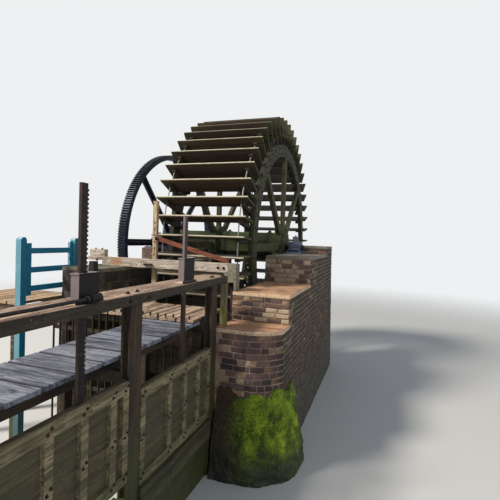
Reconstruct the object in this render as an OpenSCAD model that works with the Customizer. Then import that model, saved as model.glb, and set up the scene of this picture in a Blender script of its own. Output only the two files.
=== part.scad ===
// Watermill: a paddle wheel in a masonry race, with its ring gear, spill sluice, walkway and race gate.
// The origin is the middle of the base; X runs along the axle, Y downstream and Z up.

/* [Wheel] */
// Radius to the paddle tips
wheel_r = 3000; // [2400:10:3600]
// Width of the wheel along the axle
wheel_w = 1825; // [1500:5:1850]
// Number of paddles
paddle_n = 52; // [40:4:56]
// Depth of a paddle along the radius
paddle_depth = 420; // [300:10:460]
// Planks that make up one paddle
plank_n = 3; // [2:1:4]
// Thickness of a paddle
paddle_t = 38; // [25:1:50]
// How far the paddle tips stand out past the two timber rims
tip_out = 600; // [450:10:700]
// Depth of a rim along the radius
rim_depth = 270; // [200:10:320]
// Thickness of a rim along the axle
rim_t = 90; // [60:5:120]
// Distance from the paddle ends to a rim's outer face
rim_inset = 30; // [10:5:80]
// Arms in each rim
arm_n = 8; // [4:4:8]
// Width of an arm
arm_w = 150; // [100:5:200]
// Width of a paddle start, along the axle
start_w = 80; // [50:5:100]
// Thickness of a paddle start, square to the paddle
start_t = 60; // [40:5:80]
// Diameter of the tie rods between the paddles
rod_d = 24; // [14:1:30]
// Distance from the paddle tips in to the tie rods
rod_inset = 145; // [120:5:200]
// Gap between the wheel and the bed under it
bed_gap = 145; // [100:5:250]
// Gap between the wheel and the river pier
river_gap = 48.5; // [30:0.5:100]
// Gap between the wheel and the race wall
inner_gap = 156.5; // [100:0.5:250]
// Gap between the race beam and the wheel
beam_gap = 384; // [300:1:600]

/* [Axle and ring gear] */
// Distance from the axle's centre to each of its eight flats
axle_flat = 330; // [250:5:340]
// Radius of the iron gudgeons
gudgeon_r = 60; // [40:1:80]
// Outer radius of the ring gear
gear_r = 2260; // [1850:10:2350]
// Number of teeth
tooth_n = 240; // [120:8:280]
// Height of a tooth
tooth_h = 30; // [20:1:40]
// Width of the gear's rim along the axle
gear_w = 190; // [150:5:220]
// Thickness of the gear's rim under the teeth
gear_rim_t = 90; // [60:5:120]
// Width of a gear arm
gear_arm_w = 150; // [100:5:180]
// Thickness of the wheel's timber hubs round the axle
hub_t = 130; // [105:5:155]
// Gap between the race wall and the ring gear
gear_gap = 260; // [100:5:400]
// Gap between the axle's underside and the walls' tops
axle_gap = 37; // [30:1:100]

/* [Masonry] */
// How far the low ledge on the river pier lies below the walls' tops
ledge_low_drop = 720; // [620:10:820]
// How far the high ledge on the river pier lies below the walls' tops
ledge_high_drop = 280; // [200:10:400]
// How far the pier behind the bearing rises above its seat
pier_rise = 190; // [100:10:300]
// Thickness of the ledge and coping slabs
slab_t = 60; // [40:5:100]
// How far the slabs stand out past the masonry
slab_lip = 15; // [5:5:20]
// Width of the river pier at its top
pier_w = 890; // [740:10:1070]
// How far the pier's river side leans out towards the base
pier_batter = 80; // [0:5:120]
// Radius of the pier's rounded nose
nose_r = 500; // [300:10:600]
// Height of the spread footing round the nose
footing_h = 1150; // [600:10:1300]
// How far the footing spreads at the base
footing_out = 280; // [100:10:320]
// Width of the masonry wall on the other side of the race
wall_w = 700; // [500:10:840]
// Length of the race from the wheel's centre to the pier's tail
tail_l = 1466; // [1000:2:1800]

/* [Spill sluice] */
// Distance between the posts of the far bay
bay_far = 1855; // [1540:5:2230]
// Distance between the posts of the near bay
bay_near = 1695; // [1410:5:2035]
// Width of a sluice post along the sluice
post_d = 190; // [150:5:230]
// Thickness of a sluice post across the sluice
post_w = 110; // [96:2:134]
// Width of the head beam
head_w = 375; // [310:5:450]
// Height of the head beam
head_h = 100; // [85:5:120]
// Height of a spill gate's leaf
leaf_h = 985; // [800:5:1100]
// Thickness of a spill gate's leaf
leaf_t = 46; // [36:1:56]
// How far the sill's top lies below the head beam's top
sill_drop = 1950; // [1850:10:2150]
// How far gate 1 is raised in the photographed state
gate_1_raised = 150; // [0:5:300]
// Width of a rack bar along the sluice
rack_d = 80; // [60:2:96]
// Thickness of a rack bar
rack_t = 28; // [20:1:34]
// Height of a rack's top above the beam, with its gate shut
rack_up = 800; // [660:10:960]
// Height of the near rack's housing
box_1_h = 240; // [200:5:290]
// Height of the far rack's housing
box_2_h = 300; // [240:5:360]
// Radius of the drive shaft
shaft_r = 14; // [10:1:18]

/* [Race beam and gate] */
// Height of the race beam
race_beam_h = 150; // [120:5:180]
// Depth of the race beam along the race
race_beam_d = 150; // [125:5:180]
// Width of the race gate's stem
stem_w = 80; // [66:2:96]
// Depth of the stem along the race
stem_d = 60; // [50:2:72]
// Height of the stem's top above the walls
stem_up = 1160; // [960:10:1400]
// Distance between the peg holes in the stem
peg_step = 110; // [90:5:130]
// Height of the race gate's leaf
race_leaf_h = 1000; // [800:10:1200]
// How far the foot of the race gate's leaf lies below the walls' tops
race_leaf_drop = 1850; // [1750:10:2050]
// Height of the prop bar's pin above the walls' tops
prop_pin_up = 510; // [425:5:610]
// Depth of the prop bar
prop_h = 65; // [50:5:80]
// Width of the prop bar along the race
prop_t = 60; // [40:5:70]

/* [Walkway, decks and wicket] */
// Width of the walkway
walk_w = 760; // [640:10:910]
// How far the walkway lies below the race deck
walk_under = 50; // [45:5:160]
// Number of walkway boards
walk_board_n = 11; // [8:1:14]
// Gap between boards
board_gap = 20; // [6:1:24]
// How far the race deck lies below the walls' tops
deck_drop = 550; // [500:5:600]
// Depth of the race deck along the race
deck_d = 995; // [830:5:1195]
// Number of boards in the race deck
deck_board_n = 7; // [5:1:9]
// Distance between the trash rack's bars
bar_step = 120; // [90:5:144]
// How far the bank deck lies below the walls' tops
bank_drop = 500; // [440:5:560]
// Width of the bank deck
bank_w = 1305; // [1085:5:1570]
// Number of boards in the bank deck
bank_board_n = 6; // [5:1:8]
// Width of the wicket between its posts
wicket_w = 968; // [800:4:1164]
// Height of the wicket above the bank deck
wicket_h = 880; // [730:10:1060]

/* [Hidden] */

seat = 0.3;
run = 0.05;
clear = 8;
big = 20000;

// Wheel
wheel_x = 544;
wheel_x0 = wheel_x - wheel_w / 2;
wheel_x1 = wheel_x + wheel_w / 2;
axle_z = wheel_r + bed_gap;
pitch = 360 / paddle_n;
flats = 8;
axle_corner_r = axle_flat / cos(180 / flats);
rim_r = wheel_r - tip_out;
rim_bore = rim_r - rim_depth;
river_rim_x = wheel_x1 - rim_inset - rim_t;
inner_rim_x = wheel_x0 + rim_inset;
arm_end = sqrt(pow(rim_bore, 2) - pow(arm_w / 2, 2)) - seat;
start_foot_r = rim_bore + 20;
hub_flat = axle_flat + hub_t;
hub_in = 70;
hub_out = 25;
start_tip_r = wheel_r - 100;
groove = 8;
plank_w = paddle_depth / plank_n;
rod_r = wheel_r - rod_inset;
rod_gap = seat + rod_d / 2 * tan(pitch / 2);

// Levels of the masonry and of the beams and decks on it
wall_z = floor(axle_z - axle_corner_r - axle_gap);
ledge_low_z = wall_z - ledge_low_drop;
ledge_high_z = wall_z - ledge_high_drop;
nose_gap = 0.9;
bearing_wall = 75;
bearing_sole = 20;
bearing_r = gudgeon_r + bearing_wall;
seat_z = axle_z - bearing_r - bearing_sole;
pier_back_z = seat_z + pier_rise;
head_z = wall_z;
sill_z = head_z - sill_drop;
deck_z = wall_z - deck_drop;
walk_z = deck_z - walk_under;
bank_deck_z = wall_z - bank_drop;

// Places along the axle
race_x0 = wheel_x0 - inner_gap;
race_x1 = wheel_x1 + river_gap;
wall_x0 = race_x0 - wall_w;
gear_x = wall_x0 - gear_gap - gear_w / 2;
axle_x0 = gear_x - gear_w / 2 - 125;
axle_x1 = race_x1 - 30;
bearing_w = 300;
bearing_base_w = 400;
bearing_base_d = 640;
bearing_base_h = 35;
oil_box = 120;
oil_box_h = 110;
river_bearing_x = race_x1 + 215;
outer_bearing_x = axle_x0 - 270;
gudgeon_x0 = outer_bearing_x - 190;
gudgeon_x1 = river_bearing_x + 200;
gudgeon_flange_r = axle_flat - 90;
gudgeon_flange_t = 40;
outer_pier_w = 435;
outer_pier_d = 800;
hoop_t = 14;
hoop_w = 70;

// Places along the race
race_beam_y = -910;
beam_y1 = race_beam_y + race_beam_d;
wheel_y = beam_y1 + beam_gap + wheel_r;
deck_y1 = race_beam_y - 150;
deck_y0 = deck_y1 - deck_d;
pier_y0 = -1615;
pier_y1 = wheel_y + tail_l;
wall_y1 = pier_y1 + 100;
step_y = race_beam_y - 35;
plinth_y = wheel_y - 1774;
pier_back_y = wheel_y + 430;
far_post_y = pier_y0 - post_d / 2;
mid_post_y = far_post_y - bay_far;
near_post_y = mid_post_y - bay_near;
front_y = near_post_y - 355;

// Ring gear
gear_bore = gear_r - tooth_h - gear_rim_t;
gear_hub_r = axle_corner_r + 113;
gear_foot_r = gear_hub_r * cos(180 / flats) + seat;
gear_hub_w = 240;
gear_web_t = 45;
gear_arm_end = sqrt(pow(gear_bore, 2) - pow(gear_arm_w / 2, 2)) - seat;
tooth_tip = 0.6;

// Sluice
sluice_x = race_x1 - 30;
head_x1 = sluice_x + post_w / 2 + 30;
head_x0 = head_x1 - head_w;
slot_w = leaf_t + 10;
slot_depth = 40;
leaf_in = slot_depth - clear;
leaf_z0 = sill_z + 6;
leaf_board_n = 4;
stile_w = 80;
stile_t = 40;
stile_step = 360;
stile_inset = 20;
rail_h = 110;
sill_w = 180;
sill_h = 250;
sill_board_w = 200;
sill_board_t = 50;
rack_1_y = (near_post_y + mid_post_y) / 2 + 170;
rack_2_y = (mid_post_y + far_post_y) / 2 + 107;
rack_tooth = 12;
rack_pitch = 36;
housing_w = 80;
housing_1_d = 230;
housing_2_d = 265;
housing_back = 40;
housing_foot_h = 22;
housing_foot_out = 40;
housing_foot_w = 112;
housing_cap_h = 12;
housing_cap_out = 6;
shaft_x = sluice_x + 85;
shaft_z = head_z + 40;
shaft_boss_r = 36;
shaft_boss_l = 120;
bracket_r = 30;
end_post_x0 = race_x1 + 20;
end_post_w = 80;
end_post_d = 100;
end_post_y = pier_y0 + 155;
head_end_y = end_post_y + end_post_d / 2 + 90;

// Race gate
race_beam_x0 = wall_x0 - 110;
beam_top_z = wall_z + race_beam_h;
notch_x = race_x0 - 500;
notch_h = 0.6 * race_beam_h;
end_timber_h = 130;
block_x0 = race_x1 - 115;
block_x1 = race_x1 + 35;
block_y0 = race_beam_y - 15;
block_z0 = wall_z - 150;
corbel = 60;
stem_y0 = beam_y1 + 15;
stem_x = race_x0 + 460;
stem_top_z = wall_z + stem_up;
peg_r = 12;
peg_z0 = beam_top_z + 80;
prop_pin_x = stem_x + stem_w / 2 + 40;
prop_pin_z = wall_z + prop_pin_up;
prop_pin_r = 12;
prop_y0 = stem_y0 - 6 - prop_t;
prop_foot_x = block_x0 - 70;
prop_foot_z = beam_top_z + prop_h / 2 + 0.5;
pin_plate = 35;
race_leaf_z0 = wall_z - race_leaf_drop;
guide_w = 100;
guide_d = 140;
strap_t = 10;
strap_h = 50;
strap_gap = 6;

// Decks
board_t = 40;
rack_bar_d = 30;
rack_bar_w = 12;
rack_bar_y = deck_y0 + 15;
slot_gap = 4;
rack_bar_up = 45;
walk_x1 = sluice_x - post_w / 2 - 40;
walk_x0 = walk_x1 - walk_w;
walk_y0 = near_post_y - 250;
corner_post = 100;
corner_post_up = 125;
deck_beam_h = 160;
deck_beam_d = 120;
deck_beam_y = pier_y0 - corner_post - 5 - deck_beam_d;
walk_y1 = deck_beam_y - 5;
walk_pitch = (walk_y1 - walk_y0 + board_gap) / walk_board_n;
stringer_w = 70;
stringer_h = 120;
stringer_in = 85;
bearer_w = 80;
leg = 100;
leg_in = 20;
deck_beam_x0 = race_x0 - 470;
bar_x0 = deck_beam_x0 + 10;
bar_n = floor((sluice_x - post_w / 2 - 20 - bar_x0) / bar_step);
pile_x1 = sluice_x - sill_w / 2 - 5;
wicket_post = 100;
wicket_post_z = bank_deck_z + wicket_h + 90;
wicket_x0 = race_x0 - 850;
wicket_y0 = deck_y0 - 313;
wicket_y1 = wicket_y0 + wicket_post + wicket_w;
bank_x0 = wicket_x0 - bank_w;
bank_y0 = wicket_y0 + 38;
bank_y1 = wicket_y1 + wicket_post + 10;
bank_beam_w = 80;
bank_beam_h = 140;
eye_r = 15;
eye_h = 60;
hinge_r = 8;
hinge_lug = 10;
hinge_x = wicket_x0 + 17;
hinge_y = wicket_y0 + wicket_post + eye_r + 6;
hinge_zs = [bank_deck_z + 250, bank_deck_z + wicket_h - 50];
leaf_edge_y = hinge_y + 13;
wicket_leaf_t = 45;
wicket_leaf_x = hinge_x + 14;
wicket_stile = 75;
wicket_rail = 85;
wicket_z0 = bank_deck_z + 90;
wicket_top_z = bank_deck_z + wicket_h;
wicket_rail_zs = [wicket_z0 + 60, (wicket_z0 + wicket_top_z - wicket_rail) / 2 - 10, wicket_top_z - 158];

// A section in the Y-Z plane drawn out along X from x0
module along_x(x0, length) {
    translate([x0, 0, 0]) rotate([90, 0, 90]) linear_extrude(height = length) children();
}

// A section in the X-Z plane drawn out along Y from y0
module along_y(y0, length) {
    translate([0, y0 + length, 0]) rotate([90, 0, 0]) linear_extrude(height = length) children();
}

// A box between two corners
module span(a, b) {
    translate(a) cube(b - a);
}

// Children turned about the axle, and moved up to it
module on_axle(angle = 0) {
    translate([0, wheel_y, axle_z]) rotate([angle, 0, 0]) children();
}

// Masonry

// The pier's plan; its race side stays flush when the other sides grow
module pier_plan(grow = 0) {
    x1 = race_x1 + pier_w + pier_batter;
    difference() {
        translate([race_x1, pier_y0 - grow])
            square([x1 - race_x1 + grow, pier_y1 - pier_y0 + 2 * grow]);
        translate([x1 - nose_r, pier_y0 - 2 * footing_out])
            square([nose_r + 2 * footing_out, nose_r + 2 * footing_out]);
    }
    translate([x1 - nose_r, pier_y0 + nose_r]) circle(r = nose_r + grow, $fn = 64);
}

// The side of the pier that leans out to the river, as an X-Z section
module pier_section(grow = 0) {
    x1 = race_x1 + pier_w;
    polygon([[race_x1, -1], [x1 + pier_batter + grow, -1],
        [x1 + grow, pier_back_z + slab_t], [race_x1, pier_back_z + slab_t]]);
}

module behind(y) {
    translate([-big / 2, y]) square(big);
}

module pier_layer(z0, z1, grow = 0) {
    intersection() {
        translate([0, 0, z0]) linear_extrude(height = z1 - z0) children();
        along_y(pier_y0 - big / 2, big) pier_section(grow);
    }
}

module river_pier() {
    color("#6b5a4c") union() {
        pier_layer(0, ledge_low_z - slab_t) pier_plan();
        pier_layer(0, ledge_high_z - slab_t) intersection() { pier_plan(); behind(step_y); }
        pier_layer(0, seat_z - slab_t) intersection() { pier_plan(); behind(plinth_y); }
        pier_layer(0, pier_back_z - slab_t) intersection() { pier_plan(); behind(pier_back_y); }
    }
}

module low_ledge_slab() {
    color("#b9835a") pier_layer(ledge_low_z - slab_t, ledge_low_z, slab_lip) difference() {
        intersection() { pier_plan(slab_lip); behind(pier_y0); }
        behind(step_y);
    }
}

module high_ledge_slab() {
    color("#b9835a") pier_layer(ledge_high_z - slab_t, ledge_high_z, slab_lip) difference() {
        intersection() { pier_plan(slab_lip); behind(step_y - slab_lip); }
        behind(plinth_y);
    }
}

module plinth_cap() {
    color("#9a9086") pier_layer(seat_z - slab_t, seat_z, slab_lip) difference() {
        intersection() { pier_plan(slab_lip); behind(plinth_y - slab_lip); }
        behind(pier_back_y);
    }
}

module rear_coping() {
    color("#8a7a6a") pier_layer(pier_back_z - slab_t, pier_back_z, slab_lip)
        intersection() { pier_plan(slab_lip); behind(pier_back_y - slab_lip); }
}

// The mossy footing that spreads out round the nose
module nose_footing() {
    color("#4c7a1e") difference() {
        hull() {
            linear_extrude(height = 1) nose_plan(footing_out);
            translate([0, 0, footing_h * 0.45]) linear_extrude(height = 1) nose_plan(footing_out * 0.7);
            translate([0, 0, footing_h]) linear_extrude(height = 1) nose_plan(5);
        }
        pier_layer(-1, footing_h + 10, nose_gap) pier_plan(nose_gap);
    }
}

// The plan of the nose, from clear of the sill beam round to the river side
module nose_plan(grow) {
    x0 = sluice_x + sill_w / 2 + 5;
    x1 = race_x1 + pier_w + pier_batter;
    difference() {
        union() {
            translate([x1 - nose_r, pier_y0 + nose_r]) circle(r = nose_r + grow, $fn = 32);
            translate([x0, pier_y0 - grow]) square([x1 - nose_r - x0, nose_r]);
            translate([x0, pier_y0 + nose_r]) square([x1 + grow - x0, nose_r + 100]);
        }
        translate([x0 - big, -big / 2]) square(big);
    }
}

module race_wall() {
    color("#5d6152") span([wall_x0, pier_y0, 0], [race_x0, wall_y1, wall_z - slab_t]);
}

module race_wall_coping() {
    color("#77776a") span([wall_x0 - slab_lip, pier_y0, wall_z - slab_t],
        [race_x0 + slab_lip, wall_y1, wall_z]);
}

module outer_pier() {
    color("#6b5a4c") span([outer_bearing_x - outer_pier_w / 2, wheel_y - outer_pier_d / 2, 0],
        [outer_bearing_x + outer_pier_w / 2 - 5, wheel_y + outer_pier_d / 2, seat_z]);
}

// A pillow block with a half-round cap and an oil box, on a base plate
module bearing(x) {
    difference() {
        union() {
            span([x - bearing_base_w / 2, wheel_y - bearing_base_d / 2, seat_z],
                [x + bearing_base_w / 2, wheel_y + bearing_base_d / 2, seat_z + bearing_base_h]);
            span([x - bearing_w / 2, wheel_y - bearing_r, seat_z],
                [x + bearing_w / 2, wheel_y + bearing_r, axle_z]);
            translate([x - bearing_w / 2, wheel_y, axle_z]) rotate([0, 90, 0])
                cylinder(r = bearing_r, h = bearing_w, $fn = 64);
            span([x - oil_box / 2, wheel_y - oil_box / 2, axle_z],
                [x + oil_box / 2, wheel_y + oil_box / 2, axle_z + bearing_r + oil_box_h]);
        }
        translate([x - bearing_w, wheel_y, axle_z]) rotate([0, 90, 0])
            cylinder(r = gudgeon_r + run, h = 2 * bearing_w, $fn = 64);
    }
}

module bearings() {
    color("#5f6673") { bearing(river_bearing_x); bearing(outer_bearing_x); }
}

// Wheel

module wheel_axle() {
    color("#4f5a30") on_axle(180 / flats) along_x(axle_x0, axle_x1 - axle_x0)
        circle(r = axle_corner_r, $fn = flats);
}

// An octagonal hoop round the axle
module hoop(x0) {
    on_axle(180 / flats) along_x(x0, hoop_w) difference() {
        circle(r = axle_corner_r + hoop_t, $fn = flats);
        circle(r = axle_corner_r + seat, $fn = flats);
    }
}

// Flanged gudgeons at the two ends, and hoops beside the arms
module axle_irons() {
    color("#4a4a50") {
        on_axle() rotate([0, 90, 0]) {
            translate([0, 0, gudgeon_x0]) cylinder(r = gudgeon_r, h = axle_x0 - seat - gudgeon_x0, $fn = 64);
            translate([0, 0, axle_x0 - gudgeon_flange_t])
                cylinder(r = gudgeon_flange_r, h = gudgeon_flange_t - seat, $fn = 64);
            translate([0, 0, axle_x1 + seat])
                cylinder(r = gudgeon_r, h = gudgeon_x1 - axle_x1 - seat, $fn = 64);
        }
        hoop(axle_x0 + 10);
        hoop(inner_rim_x - hoop_w - 110);
        hoop(inner_rim_x + rim_t + 230);
        hoop(river_rim_x - hoop_w - 230);
    }
}

// Octagonal timber hubs on the axle, which the arms stand on
module wheel_hubs() {
    color("#4f5a30") for (x0 = [inner_rim_x - hub_out, river_rim_x - hub_in])
        on_axle(180 / flats) along_x(x0, rim_t + hub_in + hub_out) difference() {
            circle(r = hub_flat / cos(180 / flats), $fn = flats);
            circle(r = axle_corner_r + seat, $fn = flats);
        }
}

module rim(x0) {
    color("#55602f") on_axle() along_x(x0, rim_t) difference() {
        circle(r = rim_r, $fn = 128);
        circle(r = rim_bore, $fn = 128);
    }
}

module river_rim() {
    rim(river_rim_x);
}

module inner_rim() {
    rim(inner_rim_x);
}

// Arms between a hub's flats and a rim's bore
module arms(x0) {
    color("#5c6636") for (i = [0 : arm_n - 1]) on_axle(i * 360 / arm_n)
        along_x(x0, rim_t) translate([hub_flat + seat, -arm_w / 2]) square([arm_end - hub_flat - seat, arm_w]);
}

module river_arms() {
    arms(river_rim_x);
}

module inner_arms() {
    arms(inner_rim_x);
}

// One paddle's section: planks edge to edge, with a groove at each joint
module paddle_section() {
    r0 = wheel_r - paddle_depth;
    difference() {
        translate([r0, -paddle_t / 2]) square([paddle_depth, paddle_t]);
        for (i = [1 : plank_n - 1], side = [-1, 1])
            translate([r0 + i * plank_w, side * paddle_t / 2]) rotate(45)
                square(groove, center = true);
    }
}

module paddles() {
    color("#3d3023") for (i = [0 : paddle_n - 1])
        on_axle((i + 0.5) * pitch) along_x(wheel_x0, wheel_w) paddle_section();
}

// Starts: timbers bolted to the rims' inner faces that carry the paddles from behind
module paddle_starts() {
    color("#4a3c28") for (i = [0 : paddle_n - 1], x0 = [inner_rim_x + rim_t, river_rim_x - start_w])
        on_axle((i + 0.5) * pitch) along_x(x0, start_w)
            translate([start_foot_r, paddle_t / 2]) square([start_tip_r - start_foot_r, start_t]);
}

// Tie rods from each start to the next paddle
module tie_rods() {
    z0 = (paddle_t / 2 + start_t + rod_gap - rod_r * sin(pitch / 2)) / cos(pitch / 2);
    z1 = (rod_r * sin(pitch / 2) - paddle_t / 2 - rod_gap) / cos(pitch / 2);
    rod_xs = [inner_rim_x + rim_t + start_w / 2, river_rim_x - start_w / 2];
    color("#8c8a86") for (i = [0 : paddle_n - 1], x = rod_xs)
        on_axle((i + 1) * pitch) translate([x, rod_r, z0]) cylinder(d = rod_d, h = z1 - z0, $fn = 16);
}

// Ring gear

module gear_spider() {
    color("#23262b") {
        on_axle(180 / flats) along_x(gear_x - gear_hub_w / 2, gear_hub_w) difference() {
            circle(r = gear_hub_r, $fn = flats);
            circle(r = axle_corner_r + seat, $fn = flats);
        }
        for (i = [0 : arm_n - 1]) on_axle(i * 360 / arm_n) {
            along_x(gear_x - gear_web_t / 2, gear_web_t) translate([gear_foot_r, -gear_arm_w / 2])
                square([gear_arm_end - gear_foot_r, gear_arm_w]);
            along_x(gear_x - gear_w / 2 + 20, gear_w - 40) translate([gear_foot_r, -gear_web_t / 2])
                square([gear_arm_end - gear_foot_r, gear_web_t]);
        }
    }
}

module gear_rim() {
    color("#1f2329") on_axle() along_x(gear_x - gear_w / 2, gear_w) difference() {
        circle(r = gear_r - tooth_h, $fn = 128);
        circle(r = gear_bore, $fn = 128);
    }
}

// Teeth, as blocks set on the rim
module gear_teeth() {
    step = 360 / tooth_n;
    half = PI * gear_r / tooth_n / 2;
    root = sqrt(pow(gear_r - tooth_h, 2) - pow(half, 2)) + seat + 0.2;
    color("#20242c") for (i = [0 : tooth_n - 1]) on_axle(i * step)
        along_x(gear_x - gear_w / 2, gear_w)
            polygon([[root, -half], [gear_r, -half * tooth_tip], [gear_r, half * tooth_tip], [root, half]]);
}

// Spill sluice

// A slot for a rack between two levels; behind is the gap at the rack's plain edge
module rack_hole(y, z0, z1, behind) {
    span([sluice_x - rack_t / 2 - clear, y - rack_d / 2 - behind, z0],
        [sluice_x + rack_t / 2 + clear, y + rack_d / 2 + clear, z1]);
}

module head_beam_near() {
    color("#8c7458") difference() {
        span([head_x0, front_y, head_z - head_h], [head_x1, mid_post_y, head_z]);
        rack_hole(rack_1_y, head_z - head_h - 1, head_z + 1, clear);
    }
}

module head_beam_far() {
    color("#8c7458") difference() {
        span([head_x0, mid_post_y, head_z - head_h], [head_x1, head_end_y, head_z]);
        rack_hole(rack_2_y, head_z - head_h - 1, head_z + 1, clear);
    }
}

// A grooved post; the grooves face along the sluice
module sluice_post(y, grooves) {
    difference() {
        span([sluice_x - post_w / 2, y - post_d / 2, 0],
            [sluice_x + post_w / 2, y + post_d / 2, head_z - head_h]);
        for (side = grooves) translate([sluice_x, y + side * post_d / 2, sill_z + head_z / 2])
            cube([slot_w, 2 * slot_depth, head_z], center = true);
    }
}

module sluice_posts() {
    color("#4b3f2c") {
        sluice_post(near_post_y, [1]);
        sluice_post(mid_post_y, [-1, 1]);
        sluice_post(far_post_y, [-1]);
    }
}

// A short post on the pier's low ledge that carries the head beam's end
module beam_end_post() {
    color("#7a6c50") span([end_post_x0, end_post_y - end_post_d / 2, ledge_low_z],
        [end_post_x0 + end_post_w, end_post_y + end_post_d / 2, head_z - head_h]);
}

// Sill beams between the posts, and the boards below them
module sluice_sill() {
    color("#4a4a34") for (bay = [[near_post_y, mid_post_y], [mid_post_y, far_post_y]]) {
        y0 = bay[0] + post_d / 2;
        y1 = bay[1] - post_d / 2;
        n = floor((y1 - y0) / sill_board_w);
        step = (y1 - y0) / n;
        span([sluice_x - sill_w / 2, y0, sill_z - sill_h], [sluice_x + sill_w / 2, y1, sill_z]);
        difference() {
            span([sluice_x - sill_board_t / 2, y0, 0],
                [sluice_x + sill_board_t / 2, y1, sill_z - sill_h - seat]);
            for (i = [1 : n - 1], side = [-1, 1])
                translate([sluice_x + side * sill_board_t / 2, y0 + i * step, 0]) rotate(45)
                    cube([groove, groove, big], center = true);
        }
    }
}

// A gate leaf of boards, with a frame of rails and stiles on its river face
module spill_leaf(y0, y1, rack_y, z0) {
    face_x = sluice_x + leaf_t / 2;
    frame_y0 = y0 + clear;
    frame_y1 = y1 - clear;
    difference() {
        span([sluice_x - leaf_t / 2, y0 - leaf_in, z0], [face_x, y1 + leaf_in, z0 + leaf_h]);
        for (i = [1 : leaf_board_n - 1], side = [-1, 1])
            translate([sluice_x + side * leaf_t / 2, 0, z0 + i * leaf_h / leaf_board_n]) rotate([0, 45, 0])
                cube([groove, big, groove], center = true);
    }
    for (y = [frame_y0 + stile_w / 2, rack_y - stile_step, rack_y, rack_y + stile_step, frame_y1 - stile_w / 2])
        span([face_x, y - stile_w / 2, z0 + stile_inset], [face_x + stile_t, y + stile_w / 2, z0 + leaf_h]);
    for (z = [z0 + stile_inset, z0 + leaf_h - rail_h])
        span([face_x, frame_y0, z], [face_x + stile_t, frame_y1, z + rail_h]);
}

module spill_gate_1() {
    color("#4f4a33") spill_leaf(near_post_y + post_d / 2, mid_post_y - post_d / 2, rack_1_y,
        leaf_z0 + gate_1_raised);
}

module spill_gate_2() {
    color("#4f4a33") spill_leaf(mid_post_y + post_d / 2, far_post_y - post_d / 2, rack_2_y, leaf_z0);
}

// A rack bar with teeth on its downstream edge
module rack(y, z0) {
    foot = z0 + leaf_h;
    top = head_z + rack_up + z0 - leaf_z0;
    x0 = sluice_x - rack_t / 2;
    root_y = y + rack_d / 2 - rack_tooth;
    union() {
        span([x0, y - rack_d / 2, foot], [x0 + rack_t, root_y, top]);
        for (z = [foot + 40 : rack_pitch : top - rack_pitch])
            translate([x0, root_y - 0.5, z]) cube([rack_t, rack_tooth + 0.5, rack_pitch / 2]);
    }
}

module rack_1() {
    color("#2f2620") rack(rack_1_y, leaf_z0 + gate_1_raised);
}

module rack_2() {
    color("#6c6460") rack(rack_2_y, leaf_z0);
}

// The housing of a rack's pinion, with a foot, a cap and a way through for the rack
module rack_housing(y, height, depth) {
    y0 = y - rack_d / 2 - housing_back;
    y1 = y0 + depth;
    top = head_z + height;
    difference() {
        union() {
            span([sluice_x - housing_foot_w / 2, y0 - housing_foot_out, head_z],
                [sluice_x + housing_foot_w / 2, y1 + housing_foot_out, head_z + housing_foot_h]);
            span([sluice_x - housing_w / 2, y0, head_z], [sluice_x + housing_w / 2, y1, top - housing_cap_h]);
            span([sluice_x - housing_w / 2 - housing_cap_out, y0 - housing_cap_out, top - housing_cap_h],
                [sluice_x + housing_w / 2 + housing_cap_out, y1 + housing_cap_out, top]);
        }
        rack_hole(y, head_z - 1, top + 1, seat);
    }
}

// Housing 1 has the shaft's end bearing on its river side
module rack_housing_1() {
    face_x = sluice_x + housing_w / 2;
    boss_y = rack_1_y - 15;
    color("#6f6468") difference() {
        union() {
            rack_housing(rack_1_y, box_1_h, housing_1_d);
            span([face_x - 2, boss_y, shaft_z - shaft_boss_r],
                [shaft_x, boss_y + shaft_boss_l, shaft_z + shaft_boss_r]);
            translate([shaft_x, boss_y, shaft_z]) rotate([-90, 0, 0])
                cylinder(r = shaft_boss_r, h = shaft_boss_l, $fn = 48);
        }
        translate([shaft_x, boss_y - 1, shaft_z]) rotate([-90, 0, 0])
            cylinder(r = shaft_r + run, h = shaft_boss_l * 0.7, $fn = 48);
    }
}

module rack_housing_2() {
    color("#6f6468") rack_housing(rack_2_y, box_2_h, housing_2_d);
}

module drive_shaft() {
    color("#17171a") translate([shaft_x, front_y, shaft_z]) rotate([-90, 0, 0])
        cylinder(r = shaft_r, h = rack_1_y + 60 - front_y, $fn = 48);
}

// A bracket on the beam that holds the shaft
module shaft_bracket() {
    color("#2a2a2e") difference() {
        union() {
            span([shaft_x - 2 * bracket_r, near_post_y - bracket_r, head_z],
                [shaft_x + bracket_r, near_post_y + bracket_r, shaft_z]);
            translate([shaft_x, near_post_y - bracket_r, shaft_z]) rotate([-90, 0, 0])
                cylinder(r = bracket_r, h = 2 * bracket_r, $fn = 48);
        }
        translate([shaft_x, near_post_y - 2 * bracket_r, shaft_z]) rotate([-90, 0, 0])
            cylinder(r = shaft_r + run, h = 4 * bracket_r, $fn = 48);
    }
}

// Race beam and gate

// The race beam, cut away underneath at its bank end
module race_beam() {
    color("#cdb898") difference() {
        span([race_beam_x0, race_beam_y, wall_z], [block_x0, beam_y1, beam_top_z]);
        span([race_beam_x0 - 1, race_beam_y - 1, wall_z - 1], [notch_x, beam_y1 + 1, wall_z + notch_h]);
    }
}

// A short timber that lies on the beam's bank end
module beam_end_timber() {
    color("#c9b595") span([race_beam_x0, race_beam_y + 45, beam_top_z],
        [notch_x + 15, beam_y1 - 5, beam_top_z + end_timber_h]);
}

// The corner block at the beam's river end: a foot on the ledge, a seat under the beam and a stop beside it
module beam_end_block() {
    color("#9a9284") union() {
        span([race_x1, block_y0, ledge_high_z], [block_x1, beam_y1, wall_z]);
        span([block_x0 - corbel, block_y0, block_z0], [block_x1, beam_y1, wall_z]);
        span([block_x0, block_y0, block_z0], [block_x1, beam_y1, beam_top_z]);
    }
}

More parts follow.
